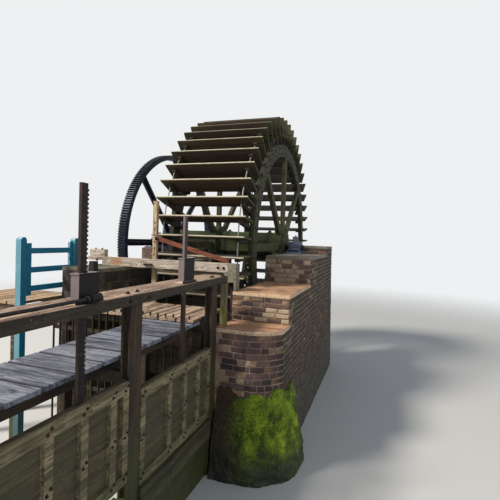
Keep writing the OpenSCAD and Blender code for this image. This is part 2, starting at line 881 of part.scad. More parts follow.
module race_gate_stem() {
    y1 = stem_y0 + stem_d;
    face_x = stem_x + stem_w / 2;
    color("#c8b487") difference() {
        span([stem_x - stem_w / 2, stem_y0, race_leaf_z0 + race_leaf_h], [face_x, y1, stem_top_z]);
        for (z = [peg_z0 : peg_step : prop_pin_z + 2 * peg_step]) translate([stem_x, stem_y0 - 1, z])
            rotate([-90, 0, 0]) cylinder(r = peg_r, h = stem_d + 2, $fn = 24);
    }
    color("#3a3532") {
        span([face_x, stem_y0, prop_pin_z - pin_plate],
            [prop_pin_x + prop_h / 2, y1 - strap_gap, prop_pin_z + pin_plate]);
        translate([prop_pin_x, prop_y0 - strap_t, prop_pin_z]) rotate([-90, 0, 0])
            cylinder(r = prop_pin_r, h = stem_y0 - prop_y0 + strap_t, $fn = 32);
    }
}

module race_gate_leaf() {
    y1 = stem_y0 + leaf_t;
    color("#4a4632") difference() {
        span([race_x0 + guide_w - leaf_in, stem_y0, race_leaf_z0],
            [race_x1 - guide_w + leaf_in, y1, race_leaf_z0 + race_leaf_h]);
        for (i = [1 : leaf_board_n - 1], y = [stem_y0, y1])
            translate([0, y, race_leaf_z0 + i * race_leaf_h / leaf_board_n]) rotate([45, 0, 0])
                cube([big, groove, groove], center = true);
    }
}

// Grooved timbers on the two race walls that guide the gate
module race_gate_guides() {
    y_mid = stem_y0 + leaf_t / 2;
    color("#4b3f2c") for (side = [0, 1]) difference() {
        x0 = side == 0 ? race_x0 : race_x1 - guide_w;
        span([x0, y_mid - guide_d / 2, 0], [x0 + guide_w, y_mid + guide_d / 2, ledge_high_z]);
        translate([side == 0 ? x0 + guide_w : x0, y_mid, race_leaf_z0 - leaf_in / 4 + big / 2])
            cube([2 * slot_depth, slot_w, big], center = true);
    }
}

// An iron strap on the beam's back that holds the stem
module stem_guide() {
    half = stem_w / 2 + strap_gap;
    y1 = stem_y0 + stem_d + strap_gap;
    z0 = wall_z + (race_beam_h - strap_h) / 2;
    color("#3a3532") difference() {
        span([stem_x - half - strap_t, beam_y1, z0], [stem_x + half + strap_t, y1 + strap_t, z0 + strap_h]);
        span([stem_x - half, beam_y1 - 1, z0 - 1], [stem_x + half, y1, z0 + strap_h + 1]);
    }
}

// The reddish bar pinned to the stem, with its foot on the beam
module prop_bar() {
    dx = prop_foot_x - prop_pin_x;
    dz = prop_foot_z - prop_pin_z;
    length = sqrt(dx * dx + dz * dz);
    color("#9a4f33") translate([prop_pin_x, 0, prop_pin_z]) along_y(prop_y0, prop_t) rotate(atan2(dz, dx))
        difference() {
            union() {
                translate([0, -prop_h / 2]) square([length, prop_h]);
                circle(d = prop_h, $fn = 48);
                translate([length, 0]) circle(d = prop_h, $fn = 48);
            }
            circle(r = prop_pin_r + run, $fn = 32);
        }
}

// Walkway and decks

module walkway_boards() {
    color("#7f858c") difference() {
        for (i = [0 : walk_board_n - 1]) span([walk_x0, walk_y0 + i * walk_pitch, walk_z - board_t],
            [walk_x0 + walk_w, walk_y0 + (i + 1) * walk_pitch - board_gap, walk_z]);
        bar_slots(walk_z, slot_gap);
    }
}

// Slots for the trash rack's bars through boards at a level; back is the gap behind the bars
module bar_slots(z, back) {
    for (i = [0 : bar_n]) span([bar_x0 + i * bar_step - slot_gap, rack_bar_y - slot_gap, z - board_t - 1],
        [bar_x0 + i * bar_step + rack_bar_w + slot_gap, rack_bar_y + rack_bar_d + back, z + 1]);
}

// Stringers, bearers let into the sluice posts, and inner legs
module walkway_frame() {
    z1 = walk_z - board_t;
    z0 = z1 - stringer_h;
    bearer_z = z0 - stringer_h;
    end_y = deck_y0 - 65;
    color("#5b4c38") {
        for (x = [walk_x0 + stringer_in, walk_x1 - stringer_in - stringer_w])
            span([x, walk_y0, z0 + seat], [x + stringer_w, rack_bar_y - 5, z1]);
        for (y = [near_post_y, mid_post_y])
            span([walk_x0, y - bearer_w / 2, bearer_z], [sluice_x - post_w / 2, y + bearer_w / 2, z0]);
        span([walk_x0, end_y - bearer_w / 2, bearer_z], [walk_x1, end_y + bearer_w / 2, z0]);
        for (y = [near_post_y, mid_post_y, end_y])
            span([walk_x0 + leg_in, y - leg / 2, 0], [walk_x0 + leg_in + leg, y + leg / 2, bearer_z - seat]);
        span([walk_x1 - leg_in - leg, end_y - leg / 2, 0],
            [walk_x1 - leg_in, end_y + leg / 2, bearer_z - seat]);
    }
}

module race_deck_boards() {
    x0 = race_x0 + 2;
    step = (pile_x1 - x0 + board_gap) / deck_board_n;
    color("#b49a7c") difference() {
        for (i = [0 : deck_board_n - 1]) span([x0 + i * step, deck_y0, deck_z - board_t],
            [x0 + (i + 1) * step - board_gap, deck_y1, deck_z]);
        bar_slots(deck_z, 0);
    }
}

// The two beams under the race deck: the front one on piles, the back one let into the walls
module race_deck_beams() {
    z1 = deck_z - board_t;
    z0 = z1 - deck_beam_h;
    color("#5b4c38") {
        span([deck_beam_x0, deck_beam_y, z0], [sluice_x - post_w / 2, deck_beam_y + deck_beam_d, z1]);
        span([race_x0, deck_y1 - deck_beam_d, z0], [race_x1, deck_y1, z1]);
        for (x = [deck_beam_x0, pile_x1 - deck_beam_d])
            span([x, deck_beam_y, 0], [x + deck_beam_d, deck_beam_y + deck_beam_d, z0 - seat]);
    }
}

// Bars and rails across the race, whose tops stand up through the deck's front edge
module trash_rack() {
    y1 = rack_bar_y + rack_bar_d;
    color("#3a342c") union() {
        for (i = [0 : bar_n]) span([bar_x0 + i * bar_step, rack_bar_y, 0],
            [bar_x0 + i * bar_step + rack_bar_w, y1, deck_z + rack_bar_up]);
        for (z = [120, deck_z / 2 - 100, deck_z - 350])
            span([bar_x0, y1 - rack_bar_d / 2, z], [bar_x0 + bar_n * bar_step + rack_bar_w, y1 - 4, z + 60]);
    }
}

// The dark post at the race wall's front corner
module wall_corner_post() {
    color("#3b3024") span([race_x0 - corner_post, pier_y0 - corner_post, 0],
        [race_x0, pier_y0, wall_z + corner_post_up]);
}

module bank_deck_boards() {
    step = (bank_w - 1 + board_gap) / bank_board_n;
    color("#bf8f5c") for (i = [0 : bank_board_n - 1])
        span([bank_x0 + i * step, bank_y0, bank_deck_z - board_t],
            [bank_x0 + (i + 1) * step - board_gap, bank_y1, bank_deck_z]);
}

// Beams and piles under the bank deck, and the packer that ties its post to the race wall
module bank_deck_frame() {
    z1 = bank_deck_z - board_t;
    z0 = z1 - bank_beam_h;
    color("#6a5640") {
        for (y = [wicket_y0 + 58, wicket_y1]) {
            span([bank_x0, y, z0], [wicket_x0, y + bank_beam_w, z1]);
            for (x = [bank_x0 + 30, wicket_x0 - 30 - leg])
                span([x, y - 10, 0], [x + leg, y - 10 + leg, z0 - seat]);
        }
        span([wicket_x0 + wicket_post, wicket_y1, z0], [wall_x0, wicket_y1 + wicket_post, z1]);
    }
}

// Posts on the deck's inner edge, with the wicket's two hinge pins
module wicket_posts() {
    color("#1f7f92") {
        for (y = [wicket_y0, wicket_y1]) {
            span([wicket_x0, y, 0],
                [wicket_x0 + wicket_post, y + wicket_post, wicket_post_z - wicket_post / 2]);
            translate([wicket_x0, y + wicket_post / 2, wicket_post_z - wicket_post / 2]) rotate([0, 90, 0])
                cylinder(d = wicket_post, h = wicket_post, $fn = 48);
        }
        for (z = hinge_zs) {
            lug_z = z - eye_h / 2 - 6;
            span([wicket_x0, wicket_y0 + wicket_post, lug_z - hinge_lug],
                [hinge_x + 4, hinge_y + hinge_r, lug_z]);
            translate([hinge_x, hinge_y, lug_z]) cylinder(r = hinge_r, h = eye_h + 20, $fn = 32);
        }
    }
}

// The wicket: two stiles, three rails and the eyes of its hinges
module wicket_gate() {
    x0 = wicket_leaf_x;
    x1 = x0 + wicket_leaf_t;
    y1 = wicket_y1 - 10;
    color("#2794a8") union() {
        span([x0, leaf_edge_y, wicket_z0], [x1, leaf_edge_y + wicket_stile, wicket_top_z]);
        span([x0, y1 - wicket_stile, wicket_z0], [x1, y1, wicket_top_z]);
        translate([x0, y1 - wicket_stile / 2, wicket_top_z]) rotate([0, 90, 0])
            cylinder(d = wicket_stile, h = x1 - x0, $fn = 48);
        for (z = wicket_rail_zs) span([x0 + 4, leaf_edge_y, z], [x1 - 4, y1, z + wicket_rail]);
        for (z = hinge_zs) difference() {
            union() {
                translate([hinge_x, hinge_y, z - eye_h / 2]) cylinder(r = eye_r, h = eye_h, $fn = 32);
                span([hinge_x, hinge_y - 4, z - eye_h / 2], [x0 + 8, leaf_edge_y + 40, z + eye_h / 2]);
            }
            translate([hinge_x, hinge_y, z - eye_h]) cylinder(r = hinge_r + run, h = 2 * eye_h, $fn = 32);
        }
    }
}

river_pier();
low_ledge_slab();
high_ledge_slab();
plinth_cap();
rear_coping();
nose_footing();
race_wall();
race_wall_coping();
outer_pier();
bearings();
wheel_axle();
axle_irons();
wheel_hubs();
river_rim();
inner_rim();
river_arms();
inner_arms();
paddles();
paddle_starts();
tie_rods();
gear_spider();
gear_rim();
gear_teeth();
head_beam_near();
head_beam_far();
sluice_posts();
beam_end_post();
sluice_sill();
spill_gate_1();
spill_gate_2();
rack_1();
rack_2();
rack_housing_1();
rack_housing_2();
drive_shaft();
shaft_bracket();
race_beam();
beam_end_timber();
beam_end_block();
race_gate_stem();
race_gate_leaf();
race_gate_guides();
stem_guide();
prop_bar();
walkway_boards();
walkway_frame();
race_deck_boards();
race_deck_beams();
trash_rack();
wall_corner_post();
bank_deck_boards();
bank_deck_frame();
wicket_posts();
wicket_gate();
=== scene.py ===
"""The watermill's looks: its wheel, ring gear, masonry, sluice, race gate, decks and wicket."""

import logging
import math
import random
from dataclasses import dataclass, field
from enum import Enum
from itertools import product
from typing import Callable, Sequence, Union

import bmesh
import bpy
from mathutils import Matrix, Vector, noise
from mathutils.bvhtree import BVHTree


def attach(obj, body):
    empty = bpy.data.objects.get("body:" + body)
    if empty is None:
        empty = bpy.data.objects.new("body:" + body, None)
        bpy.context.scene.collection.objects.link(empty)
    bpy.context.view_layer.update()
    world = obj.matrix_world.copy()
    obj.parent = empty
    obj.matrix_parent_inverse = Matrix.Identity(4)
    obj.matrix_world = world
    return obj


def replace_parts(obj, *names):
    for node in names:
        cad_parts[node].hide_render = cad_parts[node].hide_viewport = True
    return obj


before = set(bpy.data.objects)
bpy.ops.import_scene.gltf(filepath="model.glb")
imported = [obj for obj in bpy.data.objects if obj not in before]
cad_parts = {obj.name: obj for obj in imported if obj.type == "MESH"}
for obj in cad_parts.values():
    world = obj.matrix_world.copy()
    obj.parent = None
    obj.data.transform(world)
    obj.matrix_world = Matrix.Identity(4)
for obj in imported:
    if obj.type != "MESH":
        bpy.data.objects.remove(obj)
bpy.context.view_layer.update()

log = logging.getLogger("watermill")
Colour = tuple[float, float, float]
Point = tuple[float, float, float]
Number = Union[float, "Signal"]
Profile = Sequence[tuple[float, float]]
Stops = Sequence[tuple[float, Colour]]
WHEEL_Y = 2.624
AXLE_Z = 3.145
PADDLES = 52
ARMS = 8
UP: Point = (0.0, 0.0, 1.0)
TO_RIVER: Point = (1.0, 0.0, 0.0)
TO_BANK: Point = (-1.0, 0.0, 0.0)
TO_WHEEL: Point = (0.0, 1.0, 0.0)
TO_SLUICE: Point = (0.0, -1.0, 0.0)
WELD_GAP = 0.00005
RUBBED_OVER = math.radians(40)
SHARP_OVER = math.radians(32)
SUNK = 0.001
WASHER = (1.5, 0.2)
NUT: Profile = ((1.0, 0.0), (1.0, 0.75), (0.84, 0.95))
BOLT_END: Profile = ((0.5, 0.9), (0.5, 1.3), (0.36, 1.45))
NAIL_HEAD: Profile = ((1.0, 0.22), (0.6, 0.45))


def linear(red: int, green: int, blue: int) -> Colour:
    """A colour given in screen values from 0 to 255, as linear light.

    Args:
        red: The red value.
        green: The green value.
        blue: The blue value.

    Returns:
        The three linear values.
    """
    def one(v: int) -> float:
        """One channel in linear light."""
        c = v / 255
        return c / 12.92 if c <= 0.04045 else ((c + 0.055) / 1.055) ** 2.4
    return one(red), one(green), one(blue)


def times(colour: Colour, by: float) -> Colour:
    """A colour made lighter or darker."""
    return tuple(min(1.0, c * by) for c in colour)


class Signal:
    """A number or vector that flows through a material's nodes; Python's operators add Math nodes."""

    def __init__(self, bench: "Bench", socket: bpy.types.NodeSocket) -> None:
        """Wraps a socket of a bench's tree."""
        self.bench = bench
        self.socket = socket

    def _math(self, operation: str, *values: Number) -> "Signal":
        """Adds one Math node.

        Args:
            operation: The node's operation.
            values: Its inputs in order.

        Returns:
            The node's result.
        """
        return self.bench.node("ShaderNodeMath", {"operation": operation}, dict(enumerate(values)))

    def __add__(self, other: Number) -> "Signal":
        """This plus another."""
        return self._math("ADD", self, other)

    def __radd__(self, other: Number) -> "Signal":
        """Another plus this."""
        return self._math("ADD", other, self)

    def __sub__(self, other: Number) -> "Signal":
        """This minus another."""
        return self._math("SUBTRACT", self, other)

    def __rsub__(self, other: Number) -> "Signal":
        """Another minus this."""
        return self._math("SUBTRACT", other, self)

    def __mul__(self, other: Number) -> "Signal":
        """This times another."""
        return self._math("MULTIPLY", self, other)

    def __rmul__(self, other: Number) -> "Signal":
        """Another times this."""
        return self._math("MULTIPLY", other, self)

    def __truediv__(self, other: Number) -> "Signal":
        """This over another."""
        return self._math("DIVIDE", self, other)

    def __rtruediv__(self, other: Number) -> "Signal":
        """Another over this."""
        return self._math("DIVIDE", other, self)

    def __pow__(self, other: Number) -> "Signal":
        """This to a power."""
        return self._math("POWER", self, other)

    def __rpow__(self, other: Number) -> "Signal":
        """Another to the power of this."""
        return self._math("POWER", other, self)

    def __abs__(self) -> "Signal":
        """This without its sign."""
        return self._math("ABSOLUTE", self)

    def __gt__(self, other: Number) -> "Signal":
        """One where this is above another, else nought."""
        return self._math("GREATER_THAN", self, other)

    def __lt__(self, other: Number) -> "Signal":
        """One where this is below another, else nought."""
        return self._math("LESS_THAN", self, other)

    def least(self, other: Number) -> "Signal":
        """The smaller of this and another."""
        return self._math("MINIMUM", self, other)

    def most(self, other: Number) -> "Signal":
        """The larger of this and another."""
        return self._math("MAXIMUM", self, other)

    def floor(self) -> "Signal":
        """This rounded down."""
        return self._math("FLOOR", self)

    def turn_from(self, other: "Signal") -> "Signal":
        """The angle whose tangent is this over another."""
        return self._math("ARCTAN2", self, other)

    def fade(self, low: float, high: float) -> "Signal":
        """A smooth step between two values.

        Args:
            low: Where the step starts, at nought.
            high: Where it ends, at one. It may be below low, for a falling step.

        Returns:
            The step's value.
        """
        if high < low:
            return 1 - self.fade(high, low)
        return self.bench.node("ShaderNodeMapRange", {"interpolation_type": "SMOOTHSTEP"},
                               {"Value": self, "From Min": low, "From Max": high})


class Bench:
    """A new material, or a world, whose nodes are added one at a time."""

    def __init__(self, name: str, world: bpy.types.World | None = None) -> None:
        """Starts an empty tree in a new material, or in a world.

        Args:
            name: The material's name.
            world: The world, where the tree is one's.
        """
        self.owner = world or bpy.data.materials.new(name)
        self.owner.use_nodes = True
        self.tree = self.owner.node_tree
        self.tree.nodes.clear()

    def node(self, kind: str, settings: dict | None = None, inputs: dict | None = None,
             output: Union[int, str] = 0) -> Signal:
        """Adds a node.

        Args:
            kind: The node's type.
            settings: Its properties, set before its inputs; "stops" fills a colour ramp.
            inputs: Its sockets by name or number, each a value or a signal.
            output: The output to return, by name or number.

        Returns:
            That output as a signal.
        """
        made = self.tree.nodes.new(kind)
        for key, value in (settings or {}).items():
            if key == "stops":
                self._fill_ramp(made.color_ramp, value)
            else:
                setattr(made, key, value)
        for key, value in (inputs or {}).items():
            socket = self._socket(made, key)
            if isinstance(value, Signal):
                self.tree.links.new(value.socket, socket)
            elif isinstance(value, tuple) and len(value) == 3 and socket.type == "RGBA":
                socket.default_value = (*value, 1.0)
            else:
                socket.default_value = value
        return Signal(self, made.outputs[output] if made.outputs else None)

    @staticmethod
    def _socket(made: bpy.types.Node, key: Union[int, str]) -> bpy.types.NodeSocket:
        """An input by number, or the enabled one of that name.

        Args:
            made: The node.
            key: The input's number or name.

        Returns:
            The input.
        """
        if isinstance(key, int):
            return made.inputs[key]
        return next(s for s in made.inputs if s.name == key and s.enabled)

    @staticmethod
    def _fill_ramp(ramp: bpy.types.ColorRamp, stops: Stops) -> None:
        """Sets a colour ramp's stops.

        Args:
            ramp: The ramp.
            stops: The place and the colour of each stop.
        """
        while len(ramp.elements) < len(stops):
            ramp.elements.new(0.5)
        for element, (place, colour) in zip(ramp.elements, stops):
            element.position = place
            element.color = (*colour, 1.0)

    def place(self) -> Signal:
        """The point in the frame's metres, which a piece carries with it."""
        return self.node("ShaderNodeTexCoord", output="Object")

    def facing(self) -> Signal:
        """The surface's direction in the frame at rest."""
        return self.node("ShaderNodeTexCoord", output="Normal")

    def plainly_seen(self) -> Signal:
        """Tells the rays that see the plain background.

        Returns:
            One on rays from the camera, off a gloss or through glass, else nought.
        """
        camera, gloss, glass = (self.node("ShaderNodeLightPath", output=f"Is {kind} Ray")
                                for kind in ("Camera", "Glossy", "Transmission"))
        return camera.most(gloss).most(glass)

    def away(self, vector: Signal, centre: Point) -> Signal:
        """The distance from a point."""
        return self.node("ShaderNodeVectorMath", {"operation": "DISTANCE"}, {0: vector, 1: centre},
                         output="Value")

    def stored(self, name: str) -> Signal:
        """A value that the mesh stores at its points."""
        return self.node("ShaderNodeAttribute", {"attribute_name": name}, output="Fac")

    def part(self, vector: Signal, axis: int) -> Signal:
        """One part of a vector: 0, 1 or 2 for X, Y or Z."""
        return self.node("ShaderNodeSeparateXYZ", inputs={0: vector}, output=axis)

    def joined(self, x: Number, y: Number, z: Number) -> Signal:
        """A vector from its three parts."""
        return self.node("ShaderNodeCombineXYZ", inputs={0: x, 1: y, 2: z})

    def scaled(self, vector: Signal, by: Point) -> Signal:
        """A vector with each part scaled."""
        return self.node("ShaderNodeVectorMath", {"operation": "MULTIPLY"}, {0: vector, 1: by})

    def moved(self, vector: Signal, by: Signal) -> Signal:
        """A vector plus another."""
        return self.node("ShaderNodeVectorMath", {"operation": "ADD"}, {0: vector, 1: by})

    def speckle(self, vector: Signal, scale: float, detail: float = 3.0, rough: float = 0.55) -> Signal:
        """Noise about 0.5.

        Args:
            vector: Where the noise is read.
            scale: How fine it is.
            detail: How many octaves it has.
            rough: How strong the finer octaves are.

        Returns:
            The noise's value.
        """
        return self.node("ShaderNodeTexNoise", inputs={"Vector": vector, "Scale": scale, "Detail": detail,
                                                       "Roughness": rough})

    def chance(self, vector: Signal) -> Signal:
        """A random value that is the same wherever the vector is the same."""
        return self.node("ShaderNodeTexWhiteNoise", {"noise_dimensions": "3D"}, {"Vector": vector})

    def blend(self, share: Number, first: Union[Colour, Signal], second: Union[Colour, Signal],
              mode: str = "MIX") -> Signal:
        """Two colours mixed.

        Args:
            share: How much of the second shows.
            first: The first colour.
            second: The second colour.
            mode: The way they mix.

        Returns:
            The mixed colour.
        """
        return self.node("ShaderNodeMix", {"data_type": "RGBA", "blend_type": mode},
                         {"Factor": share, "A": first, "B": second}, output=2)

    def ramp(self, value: Signal, stops: Stops) -> Signal:
        """A colour looked up on a ramp."""
        return self.node("ShaderNodeValToRGB", {"stops": stops}, {0: value})

    def finish(self, colour: Signal, roughness: Number, height: Signal, lift: float,
               metallic: Number = 0.0) -> bpy.types.Material:
        """Ends the material with one shader.

        Args:
            colour: The base colour.
            roughness: The roughness.
            height: What the bump follows.
            lift: The bump's height in metres.
            metallic: How much of the surface is bare metal.

        Returns:
            The material.
        """
        inputs: dict = {"Base Color": colour, "Roughness": roughness, "Metallic": metallic}
        inputs["Normal"] = self.node("ShaderNodeBump",
                                     inputs={"Height": height, "Distance": lift, "Strength": 1.0})
        shader = self.node("ShaderNodeBsdfPrincipled", inputs=inputs)
        self.node("ShaderNodeOutputMaterial", inputs={"Surface": shader})
        return self.owner


class Grain(Enum):
    """The axis that a timber's grain runs along, as a scale for the noise."""

    X = (0.9, 14.0, 14.0)
    Y = (14.0, 0.9, 14.0)
    Z = (14.0, 14.0, 0.9)


@dataclass(frozen=True)
class Rows:
    """Boards that lie side by side along one axis of the frame.

    Args:
        axis: The axis that the boards follow one another along.
        start: Where the first board starts.
        pitch: The distance from one board to the next.
        gap: The gap between two boards.
    """

    axis: int
    start: float
    pitch: float
    gap: float

    def read(self, b: Bench, spot: Signal) -> tuple[Signal, Signal]:
        """Finds each board's own chance value and its edges.

        Args:
            b: The material's bench.
            spot: The point in the frame.

        Returns:
            The board's chance value, and one at its edges.
        """
        place = (b.part(spot, self.axis) - (self.start - self.gap / 2)) / self.pitch
        number = place.floor()
        across = (place - number) * self.pitch - self.gap / 2
        edge = across.least((self.pitch - self.gap) - across).fade(0.014, 0.001)
        return b.chance(b.joined(number, 3.7, 1.3)), edge


@dataclass(frozen=True)
class Timber:
    """Weathered timber with grain, checks, stains and, where it is wet, green growth."""

    name: str
    pale: Colour
    deep: Colour
    grain: Grain = Grain.X
    # The side colours, for faces that are not up, are painted shade, partly algae.
    shaded_side_pale: Colour | None = None
    shaded_side_deep: Colour | None = None
    rows: Rows | None = None
    moss: float = 0.0
    moss_colour: Colour = linear(74, 84, 32)
    wet_below: float = 0.9
    lichen: float = 0.0
    variety: float = 0.35
    streaks: float = 2.4
    knot: tuple[Point, float, Colour] | None = None
    recess: float | None = None
    holes: tuple[float, float, float, float] | None = None
    hole_count: int = 6
    roughness: float = 0.82
    relief: float = 0.0022

    def _marks(self, b: Bench, spot: Signal, fibre: Signal, wood: Signal) -> Signal:
        """Paints shade on the boards set back behind a frame and inside the peg holes, and grows lichen,
        where the timber has them.

        Args:
            b: The material's bench.
            spot: The point in the frame.
            fibre: The wood's fibres.
            wood: Its colour so far.

        Returns:
            The colour with these marks.
        """
        # Painted shade on the boards that sit back behind the frame.
        if self.recess:
            back = b.part(spot, 0).fade(self.recess + 0.001, self.recess)
            shade = b.blend(fibre, times(self.deep, 0.2), times(self.deep, 1.1))
            wood = b.blend(back * 0.85, wood, shade)
        # Painted shade inside the peg holes, as near-black spots in a row; on the stem the sixth spot lies
        # above its five holes, where there is no hole.
        if self.holes:
            x, start, pitch, size = self.holes
            rung = (b.part(spot, 2) - start) / pitch
            rise = (rung - (rung + 0.5).floor()) * pitch
            side = b.part(spot, 0) - x
            hole = ((rise * rise + side * side) ** 0.5).fade(size * 1.25, size)
            row = (rung > -0.5) * (rung < self.hole_count - 0.5)
            wood = b.blend(hole * row, wood, times(self.deep, 0.06))
        if self.lichen > 0:
            spots = b.speckle(spot, 38.0, 3.0, 0.7).fade(0.6, 0.68)
            patch = b.speckle(spot, 3.1, 2.0).fade(0.42, 0.6)
            wood = b.blend(spots * patch * self.lichen, wood, linear(176, 176, 120))
        return wood

    def make(self) -> bpy.types.Material:
        """Builds the material.

        Returns:
            The finished timber.
        """
        b = Bench(self.name)
        spot = b.place()
        up = b.part(b.facing(), 2)
        along = spot
        edge: Signal | None = None
        if self.rows:
            tone, edge = self.rows.read(b, spot)
            along = b.moved(along, b.joined(tone * 7, tone * 5, tone * 3))
        else:
            tone = b.speckle(spot, 0.9, 1.0)
        wander = b.speckle(along, 1.4, 2.0)
        warped = b.node("ShaderNodeVectorMath", {"operation": "MULTIPLY_ADD"},
                        {0: b.joined(wander, wander, wander), 1: (1.6, 1.6, 1.6),
                         2: b.scaled(along, self.grain.value)})
        fibre = b.speckle(warped, 2.2, 6.0, 0.62)
        fine = b.speckle(warped, 11.0, 3.0, 0.6)
        checks = b.speckle(b.scaled(warped, (0.5, 1.0, 1.0)), 3.4, 2.0, 0.4)
        crack = abs(checks - 0.5).fade(0.028, 0.0)
        bands = b.speckle(b.scaled(warped, (0.5, 0.3, 0.3)), 2.2, 3.0, 0.6)
        share = (fibre - 0.5) * 2.8 + (bands - 0.5) * self.streaks + 0.5 + (tone - 0.5) * self.variety * 2
        wood = b.blend(share, self.deep, self.pale)
        # Painted shade, partly algae: faces that are not up take the darker side colours.
        if self.shaded_side_pale and self.shaded_side_deep:
            wood = b.blend(up.fade(0.3, 0.75), b.blend(share, self.shaded_side_deep, self.shaded_side_pale), wood)
        if self.knot:
            centre, size, colour = self.knot
            ragged = (b.speckle(spot, 13.0, 4.0, 0.65) - 0.5) * 2.6
            near = (b.away(spot, centre) / size + ragged + (fibre - 0.5) * 1.2).fade(1.0, 0.5)
            wood = b.blend(near * 0.75, wood, colour)
        wood = b.blend((1 - fine) * 0.38, wood, times(self.deep, 0.45))
        stain = b.speckle(spot, 2.6, 4.0, 0.6).fade(0.5, 0.72)
        wood = b.blend(stain * 0.4, wood, times(self.deep, 0.6))
        wood = b.blend(crack * 0.85, wood, times(self.deep, 0.16))
        # Darker along each board's edges: partly wet edges, partly painted shade in the gaps between
        # boards.
        if edge:
            wood = b.blend(edge * 0.7, wood, times(self.deep, 0.2))
        wood = self._marks(b, spot, fibre, wood)
        growth = b.speckle(spot, 5.5, 5.0, 0.68)
        wet = (b.part(spot, 2) + (growth - 0.5) * 0.9).fade(self.wet_below + 0.5, self.wet_below - 0.3)
        green = (growth.fade(0.62 - self.moss * 0.35, 0.78 - self.moss * 0.2) * self.moss
                 * (up * 0.35 + 0.8)).most(wet * (fibre * 1.1 + 0.22))
        mossy = b.blend(fine, self.moss_colour, times(self.moss_colour, 0.45))
        wood = b.blend(green.least(0.92), wood, mossy)
        relief = fibre * 0.6 + fine * 0.35 - crack * 1.2 + growth * green * 0.6
        return b.finish(wood, self.roughness - wet * 0.25, relief, self.relief)


@dataclass(frozen=True)
class PaddleTimber:
    """Wet dark planks whose tips are pale, partly rubbed wear and partly painted highlight that fades as
    painted shade high on the wheel, with a line at each joint and moss low on the wheel.
    """

    name: str
    pale: Colour
    deep: Colour
    tip: Colour
    tip_r: float = 2.962
    plank_w: float = 0.14
    joints: tuple[float, ...] = (2.72, 2.86)
    middle_x: float = 0.544
    end_x: tuple[float, float] = (0.55, 0.92)
    low_z: tuple[float, float] = (3.3, 1.7)
    tip_shade_z: tuple[float, float] = (5.0, 5.9)

    def make(self) -> bpy.types.Material:
        """Builds the material.

        Returns:
            The finished paddles.
        """
        b = Bench(self.name)
        spot = b.place()
        x, height = b.part(spot, 0), b.part(spot, 2)
        y, z = b.part(spot, 1) - WHEEL_Y, height - AXLE_Z
        out = (y * y + z * z) ** 0.5
        turns = z.turn_from(y) * (PADDLES / math.tau)
        number = turns.floor()
        tone = b.chance(b.joined(number, 2.1, 0.4))
        plank = b.chance(b.joined(number, (out / self.plank_w).floor(), 5.3))
        along = b.joined(x * 0.9 + tone * 9, out * 26.0, number * 3.1)
        fibre = b.speckle(along, 2.0, 6.0, 0.62)
        fine = b.speckle(b.joined(x * 6, out * 120.0, number), 1.0, 3.0, 0.6)
        wood = b.blend((fibre - 0.5) * 2 + 0.2 + tone * 0.35 + plank * 0.3, self.deep, self.pale)
        wood = b.blend((1 - fine) * 0.4, wood, times(self.deep, 0.5))
        low = height.fade(*self.low_z)
        growth = b.speckle(spot, 6.0, 5.0, 0.68)
        ends = abs(x - self.middle_x).fade(*self.end_x)
        thick = growth.fade(0.3, 0.62) * ends * 0.8
        green = (growth.fade(0.5, 0.72) * (0.25 + low * 0.75)).most(thick).least(0.9)
        wood = b.blend(green, wood, b.blend(fine, linear(58, 72, 22), linear(26, 32, 12)))
        for joint in self.joints:
            wood = b.blend(abs(out - joint).fade(0.012, 0.003) * 0.9, wood, times(self.deep, 0.15))
        side = (turns - number - 0.5) * (math.tau / PADDLES) * out
        # The pale tips are partly rubbed wear and partly painted highlight; high up on the wheel they fade
        # as painted shade.
        rubbed = ((out + (fine - 0.5) * 0.02).fade(self.tip_r + 0.012, self.tip_r + 0.03)
                  * (side + (fine - 0.5) * 0.012).fade(0.006, -0.004))
        high = height.fade(*self.tip_shade_z)
        wood = b.blend(rubbed * (0.95 - low * 0.4 - high * 0.62), wood,
                       b.blend(fibre, times(self.tip, 0.7), self.tip))
        return b.finish(wood, 0.78, fibre * 0.6 + fine * 0.3, 0.003)


